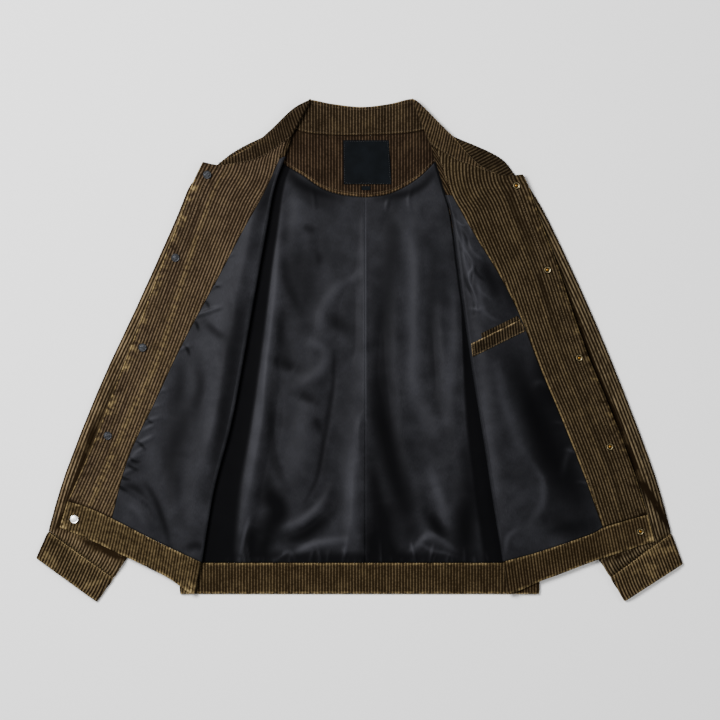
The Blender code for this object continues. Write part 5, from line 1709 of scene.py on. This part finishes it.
def band_part(name, grid, count, shown, stitch, sewn_wear, keep):
    """One part of a band, and its face, with its edges and its own ends rounded and rubbed."""
    up, across = lengths(grid, 0), lengths(grid, 1)
    from_free = up[-1:] - up
    relief = ribs(count, up) * shown + rounded(from_free, BAND_ROUND) + 0.5 * pulled_in(up)
    relief = relief + 0.7 * pulled_in(from_free - stitch) + 0.5 * pulled_in(up - stitch)
    wear_and_shade = 0.9 * bell(from_free - 0.4, 1.1) + sewn_wear * bell(up - 1.0, 0.9)
    for corner in WORN_CORNERS:
        wear_and_shade = wear_and_shade + 0.9 * bell(np.linalg.norm(grid[..., :2] - corner, axis=-1), 7)
    for names, from_end in zip(BAND_ENDS, (across, across[:, -1:] - across)):
        if name in names:
            relief = relief + rounded(from_end, BAND_ROUND)
            wear_and_shade = wear_and_shade + 0.6 * bell(from_end, 2.0)
    # real wear, less BAND_SHADE's painted shade or plus its painted light
    return wall_part(grid, BAND, count, wear_and_shade - BAND_SHADE.get(name, 0.0), relief, keep)


def topstitched(faces, stitch_shares, steps):
    """Parts for add_piece: stitches along a band's faces, at shares of its width."""
    parts = []
    for face in faces:
        for share in stitch_shares:
            row = np.interp(share, band_shares(len(face)), np.linspace(0, 1, len(face)))
            parts += stitches(on_face(face, row, np.linspace(0.01, 0.99, steps)))
    return parts


wings, wing_columns = {}, {}
for side, hand in (("left", -1), ("right", 1)):
    seam = moved_aside(NECK_SEAM[side], SEAM_GAP * hand)
    wings[side] = by_length(seam, COLLAR_TIP_SHARE * np.linspace(0, 1, 13))
    wing_columns[side] = int(curve_length(wings[side]) / RIB_STEP)
turned = BAND_TURNED_Z + BAND_BULGE
under_left = ((wings["left"][0], BACK_NECK[0]), (COLLAR_WING["left"][0], COLLAR_BACK_FREE[0]))
under_right = ((BACK_NECK[-1], wings["right"][0]), (COLLAR_BACK_FREE[-1], COLLAR_WING["right"][0]))
back_columns = int(curve_length(BACK_NECK) / RIB_STEP)
sewn, free, starts = band_rails([
    (wings["left"][::-1], COLLAR_WING["left"][::-1], BAND_TURNED_Z, turned, wing_columns["left"]),
    (*under_left, BAND_UNDER_Z, BAND_UNDER_Z, HIDDEN_STEPS),
    (BACK_NECK, COLLAR_BACK_FREE, BAND_BACK_Z, BAND_BACK_Z, back_columns),
    (*under_right, BAND_UNDER_Z, BAND_UNDER_Z, HIDDEN_STEPS),
    (wings["right"], COLLAR_WING["right"], turned, BAND_TURNED_Z, wing_columns["right"]),
])


def wing_count(grid, hand, arc):
    """Ribs counted across a collar wing, leaning away from its fold, and on round the fold."""
    x, y = grid[..., 0], grid[..., 1]
    lean = np.radians(WING_RIB_LEAN) * np.clip((205 - np.abs(x)) / 100, 0, 1)
    count = (x * np.cos(lean) - hand * (y - 300) * np.sin(lean)) / RIB_PITCH
    left, right = wing_columns["left"], grid.shape[1] - wing_columns["right"]
    fold, last = (slice(left, None), left - 1) if hand < 0 else (slice(right), right)
    count[:, fold] = count[:, [last]] + arc[:, fold] - arc[:, [last]]
    return count


collar_parts, collar_faces = [], []
for name, first, last, rows in (
    # the part, its first and last pieces of rail, and its rows
    ("left wing", 0, 2, WING_ROWS),
    ("left under", 2, 4, HIDDEN_STEPS),
    ("back", 4, 5, COLLAR_BACK_ROWS),
    ("right under", 5, 7, HIDDEN_STEPS),
    ("right wing", 7, 9, WING_ROWS),
):
    span = slice(max(starts[first] - 1, 0), starts[last])
    grid = across_rails(sewn[span], free[span], rows)
    arc = lengths(grid, 1) / RIB_PITCH
    if "wing" in name:
        count = wing_count(grid, -1 if "left" in name else 1, arc)
    elif name == "back":
        count = grid[..., 0] / RIB_PITCH
    else:
        count = arc
    shown = 0.0 if "under" in name else 1.0
    part, face = band_part(name, grid, count, shown, COLLAR_STITCH, COLLAR_SEWN_WEAR, (6, 40))
    collar_parts.append(part)
    if shown:
        collar_faces.append(face)
collar_corduroy = corduroy("collar_corduroy", *COLLAR_TONES, rubbed=0.05)
collar = add_piece("collar_cloth", collar_parts, collar_corduroy)
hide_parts("collar")
parts = topstitched(collar_faces, COLLAR_STITCH_SHARES, 200)
add_piece("collar_stitching", parts, dark_thread)

hem = {"left": moved_aside(HEM_SEAM["left"], SEAM_GAP), "right": moved_aside(HEM_SEAM["right"], -SEAM_GAP)}
band_top = HEM_Y - SEAM_GAP
side_left = ((-SIDE_X, band_top), (-SIDE_X, BAND_FOOT_Y))
side_right = ((SIDE_X, band_top), (SIDE_X, BAND_FOOT_Y))
leg_columns = {side: int(curve_length(hem[side]) / RIB_STEP) for side in hem}
back_columns = int(2 * SIDE_X / RIB_STEP)
sewn, free, starts = band_rails([
    (hem["left"][::-1], BAND_LOW["left"][::-1], BAND_TURNED_Z, turned, leg_columns["left"]),
    (*zip((hem["left"][0], BAND_LOW["left"][0]), side_left), BAND_UNDER_Z, BAND_UNDER_Z, LEG_HIDDEN_STEPS),
    (*zip(side_left, side_right), BAND_BACK_Z, BAND_BACK_Z, back_columns),
    (*zip(side_right, (hem["right"][0], BAND_LOW["right"][0])), BAND_UNDER_Z, BAND_UNDER_Z, LEG_HIDDEN_STEPS),
    (hem["right"], BAND_LOW["right"], turned, BAND_TURNED_Z, leg_columns["right"]),
])
waistband_parts, waistband_faces = [], []
for name, first, last, backing in (
    # the part, its first and last pieces of rail, and the columns of its inner side
    ("left leg", 0, 2, 60),
    ("left under", 2, 4, 60),
    ("back", 4, 5, 120),
    ("right under", 5, 7, 60),
    ("right leg", 7, 9, 60),
):
    span = slice(max(starts[first] - 1, 0), starts[last])
    grid = across_rails(sewn[span], free[span], WAISTBAND_ROWS)
    middle = lengths(grid, 1)[WAISTBAND_ROWS // 2][None]
    count = np.broadcast_to(middle, grid.shape[:2]) / RIB_PITCH
    if name == "back":
        count = grid[..., 0] / RIB_PITCH
    keep = (6, backing)
    part, face = band_part(name, grid, count, 1.0, WAISTBAND_STITCH, WAISTBAND_SEWN_WEAR, keep)
    waistband_parts.append(part)
    if "under" not in name:
        waistband_faces.append(face)
waistband_corduroy = corduroy("waistband_corduroy", *WAISTBAND_TONES, rubbed=0.04)
waistband = add_piece("waistband_cloth", waistband_parts, waistband_corduroy)
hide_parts("waistband")
parts = topstitched(waistband_faces, WAISTBAND_STITCH_SHARES, 300)
add_piece("waistband_stitching", parts, gold_thread)

# ------------------------------------------------------------------ snaps
# Five metal caps are riveted down the left front, the lowest polished and the rest dull grey, and five
# small brass sockets down the right. The lowest of each is on the waistband. All are pressed from sheet.

SNAPS_LEFT = ((-220.5, 253.5), (-266.5, 133.5), (-314, 3.5), (-364.5, -124), (-413, -245))
SNAPS_RIGHT = ((227, 238), (272, 116), (318, -11.5), (362.5, -140), (406.5, -263))
CAP_PROFILE = (
    # radius, height, from the middle of its top to the middle of its foot
    (1.6, 1.56), (3.2, 1.5), (4.1, 1.42), (4.4, 1.3), (4.7, 1.36), (5.3, 1.58),
    (5.75, 1.52), (6.05, 1.2), (6.1, 0.8), (6.0, 0.3), (5.7, 0.0),
)
SOCKET_PROFILE = (
    (0.9, 0.98), (1.5, 0.9), (1.75, 0.62), (2.0, 0.5), (2.9, 0.52), (3.3, 0.8), (3.55, 1.3),
    (3.9, 1.5), (4.5, 1.52), (5.0, 1.3), (5.35, 0.85), (5.4, 0.4), (5.2, 0.0),
)
SNAP_SIDES = 48
WIDEST_RING = 6.0
CAP_TONES = ((0.017, 0.018, 0.020, 1.0), (0.032, 0.033, 0.036, 1.0))
POLISHED_TONES = ((0.84, 0.84, 0.83, 1.0), (0.95, 0.95, 0.94, 1.0))
BRASS_TONES = ((0.22, 0.18, 0.10, 1.0), (0.50, 0.43, 0.27, 1.0))
STUD_TONE = (0.80, 0.42, 0.09, 1.0)
TARNISH = (0.05, 0.045, 0.035, 1.0)
RIM_TONE = (0.8, 0.78, 0.72, 1.0)
BRASS_RINGS = (
    # radius, tone: a gold stud in a dark well, a pale rim and a tarnished skirt
    (0.0, STUD_TONE), (1.3, STUD_TONE), (1.7, TARNISH), (2.8, TARNISH), (3.3, RIM_TONE), (4.1, RIM_TONE),
    (4.6, TARNISH),
)


def turned_part(profile, x, y, base):
    """A part for add_piece: the profile turned about an upright axis."""
    profile = np.array(profile)
    angle = np.linspace(0, 2 * np.pi, SNAP_SIDES, endpoint=False)
    points = np.stack((
        x + profile[:, :1] * np.cos(angle), y + profile[:, :1] * np.sin(angle),
        base + np.broadcast_to(profile[:, 1:], (len(profile), SNAP_SIDES)),
    ), axis=-1)
    faces = ring_faces(*points.shape[:2])
    values = np.zeros((*points.shape[:2], 3))
    values[..., 0] = profile[:, :1]
    return points.reshape(-1, 3), faces, values.reshape(-1, 3)


def metal(name, tones, roughness, rings=(), **constants):
    """Sheet metal between two tones, scuffed, and tarnished between the rings' radii."""

    def look(tree, shader):
        scuff = spread(tree, noise(tree, own_place(tree), 420.0, 5.0), 0.35, 0.65)
        colour = mixed(tree, scuff, *tones)
        if rings:
            radius = add_node(tree, "ShaderNodeUVMap", uv_map="ribs").outputs["UV"]
            radius = add_node(tree, "ShaderNodeSeparateXYZ", {"Vector": radius}).outputs["X"]
            share = maths(tree, "DIVIDE", radius, WIDEST_RING)
            tarnish = add_node(tree, "ShaderNodeValToRGB", {"Fac": share})
            stops = tarnish.color_ramp.elements
            while len(stops) < len(rings):
                stops.new(0.5)
            for stop, (ring, tone) in zip(stops, rings):
                stop.position = ring / WIDEST_RING
                stop.color = tone
            colour = mixed(tree, 1.0, colour, tarnish.outputs["Color"], "MULTIPLY")
        tree.links.new(colour, shader.inputs["Base Color"])
        tree.links.new(spread(tree, scuff, 0.0, 1.0, roughness + 0.12, roughness), shader.inputs["Roughness"])

    return new_material(name, look, Metallic=1.0, **constants)


grey_metal = metal("grey_metal_cap", CAP_TONES, 0.5)
polished_metal = metal("polished_cap", POLISHED_TONES, 0.3)
brass = metal("brass_socket", BRASS_TONES, 0.3, BRASS_RINGS)
facing_top = TURNED_Z + FACING_OUT + FACING / 2 + SEAM
band_face = BAND_TURNED_Z + BAND / 2 + SEAM
for side, places, profile in (("left", SNAPS_LEFT, CAP_PROFILE), ("right", SNAPS_RIGHT, SOCKET_PROFILE)):
    for i, (x, y) in enumerate(places):
        lowest = i == len(places) - 1
        finish = brass if side == "right" else polished_metal if lowest else grey_metal
        part = turned_part(profile, x, y, band_face if lowest else facing_top)
        snap = add_piece(f"snap_{side}_{i + 1}_metal", [part], finish)
        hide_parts(f"snap_{side}_{i + 1}")
